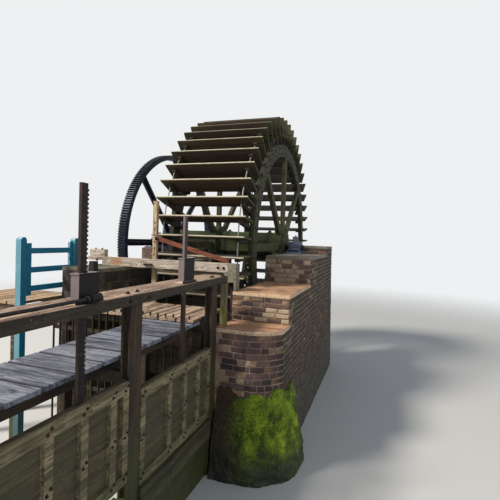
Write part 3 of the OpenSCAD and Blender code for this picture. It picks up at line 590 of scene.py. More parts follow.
@dataclass(frozen=True)
class Brick:
    """Old bricks or stones that are laid as geometry, each with a stored tone, with soot, damp, moss and
    painted shade on their faces towards +X.
    """

    name: str
    stops: Stops
    moss: float = 0.25
    moss_colour: Colour = linear(58, 82, 22)
    damp_below: float = 0.9
    lift: float = 0.004
    pale_patches: tuple[tuple[Point, float, float], ...] = ()

    def make(self) -> bpy.types.Material:
        """Builds the material.

        Returns:
            The finished bricks.
        """
        b = Bench(self.name)
        spot = b.place()
        tone = b.stored("tone")
        rough = b.speckle(spot, 34.0, 5.0, 0.68)
        cloud = b.speckle(spot, 9.0, 4.0, 0.6)
        patch = b.speckle(spot, 1.5, 3.0)
        # Makes the bricks paler round a few given points.
        for centre, size, strength in self.pale_patches:
            tone = tone + (b.away(spot, centre) / size + (patch - 0.5) * 1.5).fade(1.1, 0.3) * strength
        colour = b.ramp(tone + (cloud - 0.5) * 0.42, self.stops)
        colour = b.blend((1 - rough) * 0.75, colour, b.blend(1.0, colour, (0.30, 0.28, 0.29), "MULTIPLY"))
        chips = b.speckle(spot, 55.0, 3.0, 0.7).fade(0.66, 0.72)
        colour = b.blend(chips * 0.5, colour, linear(196, 176, 150))
        grime = b.speckle(spot, 2.2, 5.0, 0.62).fade(0.46, 0.72)
        colour = b.blend(grime * 0.45, colour, linear(46, 40, 39))
        # Painted shade, partly damp growth: the faces towards +X, the river side, are darkened.
        river = b.part(b.facing(), 0).fade(0.5, 0.95) * (grime * 0.2 + 0.74)
        colour = b.blend(river, colour, linear(40, 41, 27))
        damp = (b.part(spot, 2) + (patch - 0.5) * 1.2).fade(self.damp_below + 0.5, self.damp_below - 0.5)
        growth = b.speckle(spot, 7.0, 6.0, 0.7)
        green = ((growth + damp * 0.2).fade(0.66 - self.moss * 0.2, 0.76 - self.moss * 0.1)
                 * (0.3 + self.moss)).least(1.0)
        colour = b.blend(green, colour, b.blend(rough, self.moss_colour, times(self.moss_colour, 0.4)))
        colour = b.blend(damp * 0.5, colour, linear(32, 34, 27))
        return b.finish(colour, 0.93 - damp * 0.3, rough * 0.6 + cloud * 0.4 + green * 0.4, self.lift)


@dataclass(frozen=True)
class Mortar:
    """Crumbling lime mortar behind the bricks, pale where it is dry and black where it is damp."""

    name: str
    pale: Colour
    deep: Colour

    def make(self) -> bpy.types.Material:
        """Builds the material.

        Returns:
            The finished mortar.
        """
        b = Bench(self.name)
        spot = b.place()
        grit = b.speckle(spot, 70.0, 4.0, 0.7)
        cloud = b.speckle(spot, 4.5, 5.0, 0.65)
        colour = b.blend((cloud - 0.5) * 2.6 + 0.5 + (grit - 0.5) * 0.8, self.deep, self.pale)
        damp = (b.part(spot, 2) + (cloud - 0.5) * 1.6).fade(1.3, 0.3)
        colour = b.blend(damp * 0.75, colour, linear(30, 32, 24))
        return b.finish(colour, 0.95, grit * 0.6 + cloud * 0.4, 0.004)


@dataclass(frozen=True)
class Slab:
    """Coping stones or tiles in a row along Y, with worn pale edges and lichen."""

    name: str
    pale: Colour
    deep: Colour
    rim: Colour
    rim_share: float
    length: float
    start: float
    lichen: float
    moss: float

    def make(self) -> bpy.types.Material:
        """Builds the material.

        Returns:
            The finished slabs.
        """
        b = Bench(self.name)
        spot = b.place()
        up = b.part(b.facing(), 2)
        tone, edge = Rows(1, self.start, self.length, 0.008).read(b, spot)
        grit = b.speckle(spot, 46.0, 5.0, 0.7)
        cloud = b.speckle(spot, 5.0, 5.0, 0.62)
        streak = b.speckle(b.scaled(spot, (3.0, 12.0, 12.0)), 2.0, 4.0, 0.6)
        share = (cloud - 0.5) * 2.0 + (streak - 0.5) * 2.4 + 0.3 + tone * 0.45
        colour = b.blend(share, self.deep, self.pale)
        colour = b.blend((1 - grit) * 0.5, colour, times(self.deep, 0.55))
        stain = b.speckle(spot, 2.3, 5.0, 0.7).fade(0.5, 0.66)
        colour = b.blend(stain * 0.45, colour, times(self.deep, 0.5))
        side = up.fade(0.8, 0.4) * self.rim_share
        colour = b.blend(side * grit.fade(0.3, 0.6), colour, self.rim)
        flecks = b.speckle(spot, 30.0, 3.0, 0.7).fade(0.6, 0.68) * cloud.fade(0.4, 0.6)
        colour = b.blend(flecks * self.lichen, colour, linear(184, 182, 150))
        growth = b.speckle(spot, 8.0, 5.0, 0.7).fade(0.6 - self.moss * 0.15, 0.7)
        colour = b.blend(growth * self.moss, colour, linear(62, 78, 28))
        colour = b.blend(edge * up.fade(0.5, 0.9) * 0.75, colour, times(self.deep, 0.25))
        return b.finish(colour, 0.9, grit * 0.6 + cloud * 0.5 - edge * 0.8, 0.004)


@dataclass(frozen=True)
class Iron:
    """Cast or wrought iron with its paint or mill skin, rust in the hollows, bright patches that are partly
    wear and partly painted highlight, and, where set, painted shade on its +X faces, beyond an X or below a
    height.
    """

    name: str
    skin: Colour
    rust: float
    gloss: float
    # bright and the share on the next line set the bright patches: partly worn bare metal, partly painted
    # highlight.
    bright: Colour = linear(120, 122, 128)
    wear_and_sheen: float = 0.1
    # side: a darker colour for the faces towards +X, painted shade.
    side: Colour | None = None
    foot: tuple[float, Colour] | None = None
    shaded_beyond: float | None = None
    shaded_below: float | None = None

    def make(self) -> bpy.types.Material:
        """Builds the material.

        Returns:
            The finished iron.
        """
        b = Bench(self.name)
        spot = b.place()
        cast = b.speckle(spot, 60.0, 4.0, 0.6)
        cloud = b.speckle(spot, 5.0, 4.0, 0.6)
        skin: Union[Colour, Signal] = self.skin
        # Painted shade on the faces towards +X.
        if self.side:
            skin = b.blend(b.part(b.facing(), 0).fade(0.2, 0.7), self.skin, self.side)
        if self.foot:
            skin = b.blend(b.part(spot, 2).fade(self.foot[0] + 0.002, self.foot[0]), skin, self.foot[1])
        # Painted shade: beyond this X, towards the river, the iron is near black.
        if self.shaded_beyond:
            skin = b.blend(b.part(spot, 0) > self.shaded_beyond, skin, linear(24, 22, 25))
        # Painted shade below this height, under the head beam.
        if self.shaded_below:
            low = b.part(spot, 2).fade(self.shaded_below + 0.1, self.shaded_below)
            skin = b.blend(low, skin, linear(58, 46, 40))
        colour = b.blend(1.0, skin, b.blend(cloud, (0.62, 0.62, 0.62), (1.0, 1.0, 1.0)), "MULTIPLY")
        eaten = b.speckle(spot, 13.0, 6.0, 0.7) + (cloud - 0.5) * 0.4
        scab = eaten.fade(0.66 - self.rust * 0.3, 0.8 - self.rust * 0.3)
        rusty = b.ramp(cast, ((0.3, linear(48, 28, 18)), (0.6, linear(88, 50, 30)),
                              (0.8, linear(122, 76, 46))))
        colour = b.blend(scab * min(1.0, self.rust * 2.2), colour, rusty)
        # Bright patches, partly worn bare metal and partly painted highlight.
        rubbed = b.speckle(spot, 9.0, 3.0).fade(0.6, 0.74) * self.wear_and_sheen
        colour = b.blend(rubbed, colour, self.bright)
        rough = (1 - self.gloss) + scab * 0.3 + (cast - 0.5) * 0.2
        return b.finish(colour, rough, cast * 0.5 + scab * 0.6, 0.0012, metallic=(1 - scab) * 0.5)


@dataclass(frozen=True)
class Paint:
    """Old gloss paint on timber, worn to the wood at its edges, with its top and its faces towards -X and
    -Y made pale, partly chalky paint and partly painted light.
    """

    name: str
    coat: Colour
    under: Colour = linear(120, 96, 70)

    def make(self) -> bpy.types.Material:
        """Builds the material.

        Returns:
            The finished paint.
        """
        b = Bench(self.name)
        spot = b.place()
        face = b.facing()
        brush = b.speckle(b.scaled(spot, (30.0, 30.0, 3.0)), 2.0, 4.0, 0.6)
        cloud = b.speckle(spot, 4.0, 4.0)
        colour = b.blend(cloud, times(self.coat, 0.66), times(self.coat, 1.2))
        # Painted light, partly chalky paint: the top and the faces towards -X and -Y are made pale.
        front = (b.part(face, 0).fade(-0.4, -0.9) * 0.45).most(b.part(face, 1).fade(-0.4, -0.9) * 0.8)
        chalk_and_painted_light = b.part(face, 2).fade(0.5, 0.9) * 0.8 + front * (cloud * 0.7 + 0.2)
        colour = b.blend(chalk_and_painted_light.least(1.0), colour, linear(146, 190, 196))
        chip = b.speckle(spot, 26.0, 5.0, 0.72).fade(0.67, 0.7)
        colour = b.blend(chip * 0.8, colour, self.under)
        dirt = b.speckle(spot, 7.0, 5.0, 0.65).fade(0.55, 0.8)
        colour = b.blend(dirt * 0.35, colour, linear(34, 40, 40))
        foot = (b.part(spot, 2) + (cloud - 0.5) * 0.8).fade(1.3, 0.5)
        colour = b.blend(foot * 0.7, colour, linear(44, 54, 30))
        return b.finish(colour, 0.42 + chip * 0.4 + brush * 0.12, brush * 0.5 - chip * 0.8, 0.0012)


@dataclass(frozen=True)
class Growth:
    """A thick mat of moss over stone: brown at its race side, bright above and black where it is wet."""

    name: str
    greens: Stops
    browns: Stops
    brown_x: float = 1.95

    def make(self) -> bpy.types.Material:
        """Builds the material.

        Returns:
            The finished moss.
        """
        b = Bench(self.name)
        spot = b.place()
        tuft = b.speckle(spot, 34.0, 6.0, 0.74)
        mat = b.speckle(spot, 4.2, 5.0, 0.62)
        colour = b.ramp(tuft * 0.65 + mat * 0.85, self.greens)
        soil = b.ramp(tuft, self.browns)
        bare = (self.brown_x - b.part(spot, 0) + (mat - 0.5) * 0.9).fade(-0.12, 0.22)
        seam = b.speckle(spot, 2.4, 5.0, 0.65).fade(0.56, 0.68) * 0.7
        colour = b.blend(bare.most(seam), colour, soil)
        low = (b.part(spot, 2) + (mat - 0.5) * 0.5).fade(0.62, 0.2)
        colour = b.blend(low * 0.85, colour, linear(20, 20, 15))
        return b.finish(colour, 0.96 - low * 0.35, tuft * 0.9 + mat * 0.8, 0.016)


class Finishes:
    """Every finish of the mill, each made once."""

    def __init__(self) -> None:
        """Makes the materials."""
        self._stone()
        self._timber()
        self._metal()

    def _stone(self) -> None:
        """Makes the bricks, stones, mortar, slabs and moss."""
        bricks = ((0.0, linear(64, 52, 56)), (0.2, linear(96, 78, 82)), (0.42, linear(118, 94, 92)),
                  (0.6, linear(134, 104, 92)), (0.76, linear(110, 100, 106)), (0.9, linear(154, 120, 98)),
                  (0.97, linear(184, 146, 114)), (1.0, linear(212, 192, 166)))
        pale = (((2.30, -0.945, 2.08), 0.55, 0.5), ((1.95, 0.85, 2.72), 0.95, 0.62),
                ((1.75, -1.615, 1.94), 0.4, 0.4))
        greys = ((0.0, linear(52, 46, 46)), (0.3, linear(82, 74, 72)), (0.55, linear(104, 94, 88)),
                 (0.8, linear(126, 116, 102)), (1.0, linear(150, 142, 124)))
        self.brick = Brick("pier_brick", bricks, moss=0.22, damp_below=0.8, pale_patches=pale).make()
        self.stone = Brick("wall_stone", greys, moss=0.55, damp_below=1.1, lift=0.007).make()
        self.mortar = Mortar("lime_mortar", linear(184, 158, 134), linear(98, 82, 70)).make()
        self.wall_mortar = Mortar("wall_mortar", linear(110, 102, 88), linear(48, 46, 38)).make()
        self.tile = Slab("ledge_tile", linear(222, 176, 138), linear(140, 100, 74), linear(238, 214, 182),
                         rim_share=0.85, length=0.31, start=-1.60, lichen=0.15, moss=0.1).make()
        self.cap = Slab("cap_stone", linear(164, 154, 144), linear(92, 82, 76), linear(176, 164, 142),
                        rim_share=0.4, length=0.62, start=0.84, lichen=0.5, moss=0.35).make()
        self.coping = Slab("wall_coping", linear(136, 130, 114), linear(74, 70, 58), linear(150, 144, 124),
                           rim_share=0.3, length=0.7, start=-1.60, lichen=0.5, moss=0.5).make()
        self.corner = Slab("corner_stone", linear(136, 132, 112), linear(64, 60, 48), linear(190, 186, 168),
                           rim_share=0.35, length=1.4, start=-1.2, lichen=1.0, moss=0.2).make()
        greens = ((0.52, linear(26, 32, 10)), (0.66, linear(66, 84, 16)), (0.78, linear(118, 144, 25)),
                  (0.95, linear(176, 192, 66)))
        browns = ((0.3, linear(26, 20, 16)), (0.55, linear(62, 48, 36)), (0.75, linear(98, 80, 60)))
        self.moss = Growth("footing_moss", greens, browns).make()

    def _timber(self) -> None:
        """Makes the timbers and the paint."""
        dark = dict(pale=linear(80, 62, 43), deep=linear(27, 21, 14))
        self.axle = Timber("axle_timber", linear(74, 82, 40), linear(28, 33, 15), Grain.X, moss=0.85,
                           moss_colour=linear(52, 68, 21)).make()
        self.rim = Timber("rim_timber", linear(68, 63, 37), linear(24, 23, 13), Grain.Z, moss=0.72,
                          moss_colour=linear(46, 54, 20), lichen=0.16, streaks=3.2).make()
        self.arm = Timber("arm_timber", linear(98, 92, 56), linear(36, 34, 19), Grain.Z, moss=0.6,
                          moss_colour=linear(58, 68, 26), lichen=0.16, streaks=3.2).make()
        self.start = Timber("start_timber", linear(70, 56, 40), linear(28, 22, 15), Grain.Z,
                            moss=0.3).make()
        self.paddle = PaddleTimber("paddle_timber", linear(90, 71, 48), linear(34, 28, 18),
                                   linear(226, 216, 190)).make()
        self.post = Timber("post_timber", grain=Grain.Z, moss=0.3, wet_below=1.25,
                           moss_colour=linear(70, 76, 34), **dark).make()
        self.corner_post = Timber("corner_post_timber", linear(60, 50, 38), linear(22, 18, 14), Grain.Z,
                                  moss=0.2).make()
        self.end_post = Timber("end_post_timber", linear(158, 142, 116), linear(84, 72, 54), Grain.Z,
                               lichen=0.5, knot=((1.565, -1.50, 2.16), 0.17, linear(146, 146, 66))).make()
        self.walk_frame = Timber("walkway_frame_timber", grain=Grain.Y, moss=0.3, **dark).make()
        self.cross = Timber("cross_timber", grain=Grain.X, moss=0.4, **dark).make()
        # recess is where the gates' boards sit back; behind it they take painted shade.
        gate = dict(pale=linear(172, 160, 124), deep=linear(84, 78, 56), grain=Grain.Y, moss=0.25,
                    lichen=0.2, recess=1.4985, variety=0.2)
        self.gate = Timber("gate_timber", wet_below=0.9, **gate).make()
        self.gate_far = Timber("far_gate_timber", wet_below=0.75, **gate).make()
        self.sill = Timber("sill_timber", linear(92, 86, 58), linear(32, 31, 19), Grain.Y,
                           rows=Rows(2, 0.0, 0.235, 0.010), moss=0.4, wet_below=0.35, streaks=4.0).make()
        # The head beam's second pair of colours is painted shade on its faces that are not up, partly
        # algae.
        self.head = Timber("head_beam_timber", linear(212, 184, 160), linear(110, 86, 70), Grain.Y,
                           linear(52, 47, 30), linear(21, 19, 12), moss=0.16, lichen=0.35, streaks=3.6,
                           relief=0.004).make()
        self.race_beam = Timber("race_beam_timber", linear(242, 232, 218), linear(184, 166, 148), Grain.X,
                                lichen=0.2, variety=0.2, streaks=4.0,
                                knot=((-0.72, -0.91, 2.86), 0.17, linear(206, 142, 96))).make()
        # The stem's row of dark spots is painted shade in its peg holes.
        self.stem = Timber("stem_timber", linear(230, 210, 176), linear(176, 150, 112), Grain.Z,
                           lichen=0.7, variety=0.2, holes=(-0.065, 2.98, 0.11, 0.014)).make()
        self.prop = Timber("prop_timber", linear(160, 92, 66), linear(94, 50, 36), Grain.X,
                           variety=0.2).make()
        self.walk = Timber("walkway_boards", linear(158, 162, 178), linear(62, 64, 78), Grain.X,
                           rows=Rows(1, -5.51, 0.335, 0.02), variety=0.4, streaks=2.8, relief=0.003).make()
        self.deck = Timber("race_deck_boards", linear(212, 186, 162), linear(118, 92, 76), Grain.Y,
                           rows=Rows(0, -0.523, 0.274714, 0.02), variety=0.45, streaks=3.6,
                           relief=0.002).make()
        self.bank = Timber("bank_deck_boards", linear(216, 184, 148), linear(132, 102, 76), Grain.Y,
                           rows=Rows(0, -2.68, 0.220667, 0.02), variety=0.45, relief=0.002).make()
        self.bank_frame = Timber("bank_frame_timber", linear(120, 100, 74), linear(52, 42, 30), Grain.X,
                                 moss=0.25).make()
        self.teal = Paint("teal_paint", linear(12, 122, 156)).make()

    def _metal(self) -> None:
        """Makes the irons."""
        # The gear's blue bright patches are painted highlight.
        self.gear = Iron("gear_iron", linear(32, 37, 56), rust=0.08, gloss=0.55, wear_and_sheen=0.3,
                         bright=linear(92, 104, 136)).make()
        self.bearing = Iron("bearing_iron", linear(96, 104, 124), rust=0.15, gloss=0.45, wear_and_sheen=0.3).make()
        self.dark_iron = Iron("dark_iron", linear(32, 31, 32), rust=0.3, gloss=0.45).make()
        self.bar = Iron("rack_bar_iron", linear(66, 58, 46), rust=0.4, gloss=0.35, wear_and_sheen=0.08).make()
        # On the racks and housings, side is painted shade on the faces towards +X.
        self.rack_dark = Iron("rack_iron", linear(66, 50, 44), rust=0.4, gloss=0.4, wear_and_sheen=0.15,
                              side=linear(28, 22, 22)).make()
        self.rack_grey = Iron("rack_grey_iron", linear(140, 124, 126), rust=0.2, gloss=0.45, wear_and_sheen=0.4,
                              side=linear(54, 48, 52), shaded_below=2.56).make()
        self.rod = Iron("rod_iron", linear(150, 150, 148), rust=0.15, gloss=0.5, wear_and_sheen=0.4).make()
        self.housing = Iron("housing_iron", linear(152, 138, 140), rust=0.12, gloss=0.3, wear_and_sheen=0.12,
                            side=linear(34, 29, 32), foot=(2.772, linear(232, 208, 188)),
                            shaded_beyond=1.519).make()
        self.wheel_iron = Iron("wheel_iron", linear(66, 64, 46), rust=0.35, gloss=0.3, wear_and_sheen=0.05).make()
        self.fixings = Iron("fixing_iron", linear(46, 42, 40), rust=0.55, gloss=0.4, wear_and_sheen=0.2).make()


def modify(name: str, label: str, kind: str, **settings: float) -> None:
    """Adds a modifier to a carried-over node, after one that joins its doubled points.

    Args:
        name: The node.
        label: The modifier's name.
        kind: Its type.
        settings: Its settings.
    """
    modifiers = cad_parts[name].modifiers
    modifiers.new("weld", "WELD").merge_threshold = WELD_GAP
    made = modifiers.new(label, kind)
    for key, value in settings.items():
        setattr(made, key, value)


def dress(material: bpy.types.Material, *names: str, rubbed: float = 0.0, slack: float = 0.0) -> None:
    """Puts a material on carried-over nodes, and modifiers that leave their meshes as they are.

    Args:
        material: The finish.
        names: The nodes.
        rubbed: How wide their edges are rubbed down, in metres.
        slack: How far their skin is drawn in, so that a round pin turns freely in its round hole.
    """
    for name in names:
        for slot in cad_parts[name].material_slots:
            slot.link = "OBJECT"
            slot.material = material
        if rubbed:
            modify(name, "rubbed", "BEVEL", width=rubbed, segments=2, angle_limit=RUBBED_OVER)
        if slack:
            modify(name, "slack", "DISPLACE", strength=-slack, mid_level=0.0)
        log.info("dressed %s with %s", name, material.name)


def stand(name: str, data: bpy.types.ID) -> bpy.types.Object:
    """Makes an object and puts it in the scene.

    Args:
        name: The object's name.
        data: Its mesh, camera or lamp.

    Returns:
        The object.
    """
    made = bpy.data.objects.new(name, data)
    bpy.context.scene.collection.objects.link(made)
    return made


def bumps(spot: Vector, waves: Sequence[tuple[float, float]]) -> float:
    """Noise of several sizes added up.

    Args:
        spot: Where it is read.
        waves: How fine and how strong each noise is.

    Returns:
        The sum, about nought.
    """
    return sum(noise.noise(spot * fine) * strong for fine, strong in waves)


def grown(profile: Profile, size: float) -> Profile:
    """A profile that is given for a size of one, at another size."""
    return tuple((size * wide, size * high) for wide, high in profile)


@dataclass
class Stock:
    """Closed solids that are gathered into one piece, which rides on a body."""

    name: str
    body: str
    slot: str
    finish: bpy.types.Material
    points: list[Point] = field(default_factory=list)
    faces: list[tuple[int, ...]] = field(default_factory=list)
    tones: list[float] = field(default_factory=list)
    owners: list[int] = field(default_factory=list)
    solids: int = 0

    def add(self, points: Sequence[Sequence[float]], faces: Sequence[Sequence[int]],
            tone: float = 0.5) -> None:
        """Adds one closed solid.

        Args:
            points: Its corners.
            faces: Its faces by corner number.
            tone: The value that its finish reads.
        """
        first = len(self.points)
        self.points += [tuple(p) for p in points]
        self.faces += [tuple(first + i for i in f) for f in faces]
        self.tones += [tone] * len(points)
        self.owners += [self.solids] * len(faces)
        self.solids += 1

    def slab(self, low: Point, high: Point, edge: float = 0.003, turn: Matrix | None = None) -> None:
        """Adds a block whose edges and corners are taken off.

        Args:
            low: Its lowest corner.
            high: Its highest corner.
            edge: How much is taken off.
            turn: A transform for the finished block.
        """
        points: list[Vector] = []
        number: dict[tuple[int, ...], int] = {}
        ends = (low, high)
        # Each corner has three points, one on each of the faces that meet there.
        for corner in product((0, 1), repeat=3):
            for axis in range(3):
                spot = Vector([ends[corner[k]][k] + (0 if k == axis else edge * (1 - 2 * corner[k]))
                               for k in range(3)])
                number[(*corner, axis)] = len(points)
                points.append(turn @ spot if turn else spot)
        # Small triangles at the corners, then the two faces and the four rubbed edges of each axis.
        faces = [[number[(*c, axis)] for axis in range(3)] for c in product((0, 1), repeat=3)]
        for axis in range(3):
            u, v = (axis + 1) % 3, (axis + 2) % 3
            for side in (0, 1):
                ring = []
                for a, b in ((0, 0), (1, 0), (1, 1), (0, 1)):
                    corner = [0, 0, 0]
                    corner[axis], corner[u], corner[v] = side, a, b
                    ring.append(number[(*corner, axis)])
                faces.append(ring)
            for a, b in product((0, 1), repeat=2):
                one, two = [0, 0, 0], [0, 0, 0]
                one[u], one[v], two[u], two[v], two[axis] = a, b, a, b, 1
                faces.append([number[(*one, u)], number[(*two, u)], number[(*two, v)], number[(*one, v)]])
        self.add(points, faces)

    def slab_at(self, at: Point, corners: tuple[Point, Point], edge: float) -> None:
        """Adds a slab whose two corners are given from a point."""
        low, high = (tuple(a + b for a, b in zip(at, corner)) for corner in corners)
        self.slab(low, high, edge)

    def turned(self, at: Point, towards: Point, profile: Profile, sides: int, spin: float = 0.0) -> None:
        """Adds a solid with a round or many-sided section.

        Args:
            at: Where its axis starts.
            towards: The direction of its axis.
            profile: Radius and height of each ring, from the start.
            sides: How many sides it has.
            spin: How far it is turned about its axis.
        """
        axis = Vector(towards).normalized()
        across = axis.orthogonal().normalized()
        beside = axis.cross(across)
        points = [Vector(at) + axis * high + (across * math.cos(a) + beside * math.sin(a)) * wide
                  for wide, high in profile
                  for a in (spin + math.tau * i / sides for i in range(sides))]
        faces = [tuple(range(sides)), tuple(range((len(profile) - 1) * sides, len(profile) * sides))]
        for ring in range(len(profile) - 1):
            for i in range(sides):
                j = (i + 1) % sides
                low, high = ring * sides, (ring + 1) * sides
                faces.append((low + i, low + j, high + j, high + i))
        self.add(points, faces)

    def nut(self, at: Point, towards: Point, size: float, spin: float = 0.0) -> None:
        """Adds a washer, a nut and the end of its bolt.

        Args:
            at: Where the washer's middle lies.
            towards: The way the bolt points.
            size: Half the nut's width over its corners.
            spin: How far the nut is turned.
        """
        out = Vector(towards).normalized()
        wide, thick = WASHER
        self.turned(at, out, ((size * wide, -SUNK), (size * wide, size * thick)), sides=10)
        foot = Vector(at) + out * size * thick
        self.turned(foot, out, grown(NUT, size), sides=6, spin=spin)
        self.turned(foot, out, grown(BOLT_END, size), sides=8)

    def stud(self, at: Point, towards: Point, size: float) -> None:
        """Adds a low round nail head."""
        self.turned(at, towards, ((size, -SUNK), *grown(NAIL_HEAD, size)), sides=8)

    def clear_of(self, *names: str) -> None:
        """Takes out the solids that cut into carried-over nodes.

        Args:
            names: The nodes.
        """
        mine = BVHTree.FromPolygons(self.points, self.faces)
        hit: set[int] = set()
        for name in names:
            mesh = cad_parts[name].data
            theirs = BVHTree.FromPolygons([v.co for v in mesh.vertices],
                                          [p.vertices for p in mesh.polygons])
            hit |= {self.owners[a] for a, _ in mine.overlap(theirs)}
        keep = [i for i, owner in enumerate(self.owners) if owner not in hit]
        self.faces = [self.faces[i] for i in keep]
        self.owners = [self.owners[i] for i in keep]

    def finish_off(self) -> bpy.types.Object:
        """Makes the piece from what was gathered.

        Returns:
            The piece.
        """
        used = sorted({i for f in self.faces for i in f})
        number = {old: new for new, old in enumerate(used)}
        mesh = bpy.data.meshes.new(self.name)
        mesh.from_pydata([self.points[i] for i in used], [],
                         [tuple(number[i] for i in f) for f in self.faces])
        form = bmesh.new()
        form.from_mesh(mesh)
        bmesh.ops.recalc_face_normals(form, faces=form.faces)
        form.to_mesh(mesh)
        form.free()
        tone = mesh.attributes.new("tone", "FLOAT", "POINT")
        tone.data.foreach_set("value", [self.tones[i] for i in used])
        mesh.shade_smooth()
        mesh.set_sharp_from_angle(angle=SHARP_OVER)
        mesh.materials.append(self.finish)
        piece = stand(self.name, mesh)
        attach(piece, self.body)
        log.info("%s: %d faces on %s", self.name, len(mesh.polygons), self.body)
        return piece


def on_wheel(angle: float, out: float, side: float, x: float) -> Point:
    """A point on the wheel or its gear.

    Args:
        angle: The angle about the axle from +Y towards +Z.
        out: How far out it lies.
        side: How far it lies to the side, in the direction of growing angles.
        x: Its place along the axle.

    Returns:
        The point in the frame.
    """
    c, s = math.cos(angle), math.sin(angle)
    return x, WHEEL_Y + out * c - side * s, AXLE_Z + out * s + side * c


@dataclass
class WheelIrons:
    """The nuts, washers and clasps of the wheel, its hubs and its hoops."""

    finishes: "Finishes"
    paddle_t: float = 0.038
    start_t: float = 0.060
    start_x: tuple[float, float] = (-0.2085, 1.2965)
    start_face: tuple[float, float] = (-0.1685, 1.2565)
    rim_face: tuple[float, float] = (-0.3385, 1.4265)
    paddle_bolts: tuple[float, ...] = (2.64, 2.76)
    rim_bolts: tuple[float, ...] = (2.20, 2.335)
    paddle_nut: float = 0.015
    start_nut: float = 0.013
    rim_nut: float = 0.016
    spin_step: float = 0.7
    hub_face: tuple[float, float] = (-0.3635, 1.4515)
    hub_bolt_r: float = 0.405
    hub_nut: float = 0.02
    hoop_x: tuple[float, ...] = (-1.755, -0.4835, 0.0165, 1.0715)
    hoop_r: float = 0.3432
    lug: Point = (0.03, 0.008, 0.039)
    lug_side: float = 0.022
    clasp_bolt: tuple[float, float] = (0.022, 0.03)
    clasp_nut: float = 0.010

    def starts(self) -> None:
        """Bolts each start to its paddle and its rim."""
        stock = Stock("wheel_bolts", "wheel", "plain_iron", self.finishes.wheel_iron)
        front, back = -self.paddle_t / 2, self.paddle_t / 2 + self.start_t
        middle = self.paddle_t / 2 + self.start_t / 2
        ends = tuple(zip(self.start_x, self.rim_face, self.start_face, (TO_BANK, TO_RIVER),
                         (TO_RIVER, TO_BANK)))
        for i in range(PADDLES):
            angle = math.tau * (i + 0.5) / PADDLES
            spin = i * self.spin_step
            ahead = Vector((0.0, -math.sin(angle), math.cos(angle)))
            for x, rim, start, outward, inward in ends:
                for out in self.paddle_bolts:
                    stock.nut(on_wheel(angle, out, front, x), -ahead, self.paddle_nut, spin)
                    stock.nut(on_wheel(angle, out, back, x), ahead, self.start_nut, spin)
                for out in self.rim_bolts:
                    stock.nut(on_wheel(angle, out, middle, rim), outward, self.rim_nut, spin)
                    stock.nut(on_wheel(angle, out, middle, start), inward, self.start_nut, spin)
        stock.finish_off()

    def hubs(self) -> None:
        """Bolts the hubs and puts a clasp on each hoop."""
        stock = Stock("hub_irons", "wheel", "plain_iron", self.finishes.wheel_iron)
        for i in range(ARMS):
            for x, way in zip(self.hub_face, (TO_BANK, TO_RIVER)):
                stock.nut(on_wheel(math.tau * i / ARMS, self.hub_bolt_r, 0, x), way, self.hub_nut, i)
        top = math.radians(90)
        half, thick, tall = self.lug
        high, side = self.clasp_bolt
        for x in self.hoop_x:
            for lug in (-self.lug_side, self.lug_side):
                place = Matrix.Translation(on_wheel(top, self.hoop_r, lug, x))
                stock.slab((-half, -thick, 0.0), (half, thick, tall), turn=place)
            for bolt, way in ((side, TO_SLUICE), (-side, TO_WHEEL)):
                stock.nut(on_wheel(top, self.hoop_r + high, bolt, x), way, self.clasp_nut)
        stock.finish_off()

    def build(self) -> None:
        """Makes the irons and dresses the wheel."""
        f = self.finishes
        dress(f.axle, "wheel_axle", "wheel_hubs", rubbed=0.006)
        dress(f.rim, "river_rim", "inner_rim", rubbed=0.004)
        dress(f.arm, "river_arms", "inner_arms", rubbed=0.006)
        dress(f.paddle, "paddles", rubbed=0.004)
        dress(f.start, "paddle_starts", rubbed=0.006)
        dress(f.rod, "tie_rods")
        dress(f.dark_iron, "axle_irons", slack=0.0002)
        self.starts()
        self.hubs()


@dataclass
class RingGear:
    """The ring gear's bolts and its finish."""

    finishes: "Finishes"
    web_face: tuple[float, float] = (-1.6025, -1.5575)
    bolt_rs: tuple[float, ...] = (0.62, 0.72, 1.95, 2.06)
    bolt_side: float = 0.05
    nut: float = 0.016

    def build(self) -> None:
        """Bolts the arms at their hub and at the rim."""
        dress(self.finishes.gear, "gear_spider", "gear_rim", rubbed=0.003)
        dress(self.finishes.gear, "gear_teeth")
        stock = Stock("gear_bolts", "wheel", "gear_iron", self.finishes.gear)
        for i in range(ARMS):
            for out, side in product(self.bolt_rs, (-self.bolt_side, self.bolt_side)):
                for x, way in zip(self.web_face, (TO_BANK, TO_RIVER)):
                    stock.nut(on_wheel(math.tau * i / ARMS, out, side, x), way, self.nut, i)
        stock.finish_off()


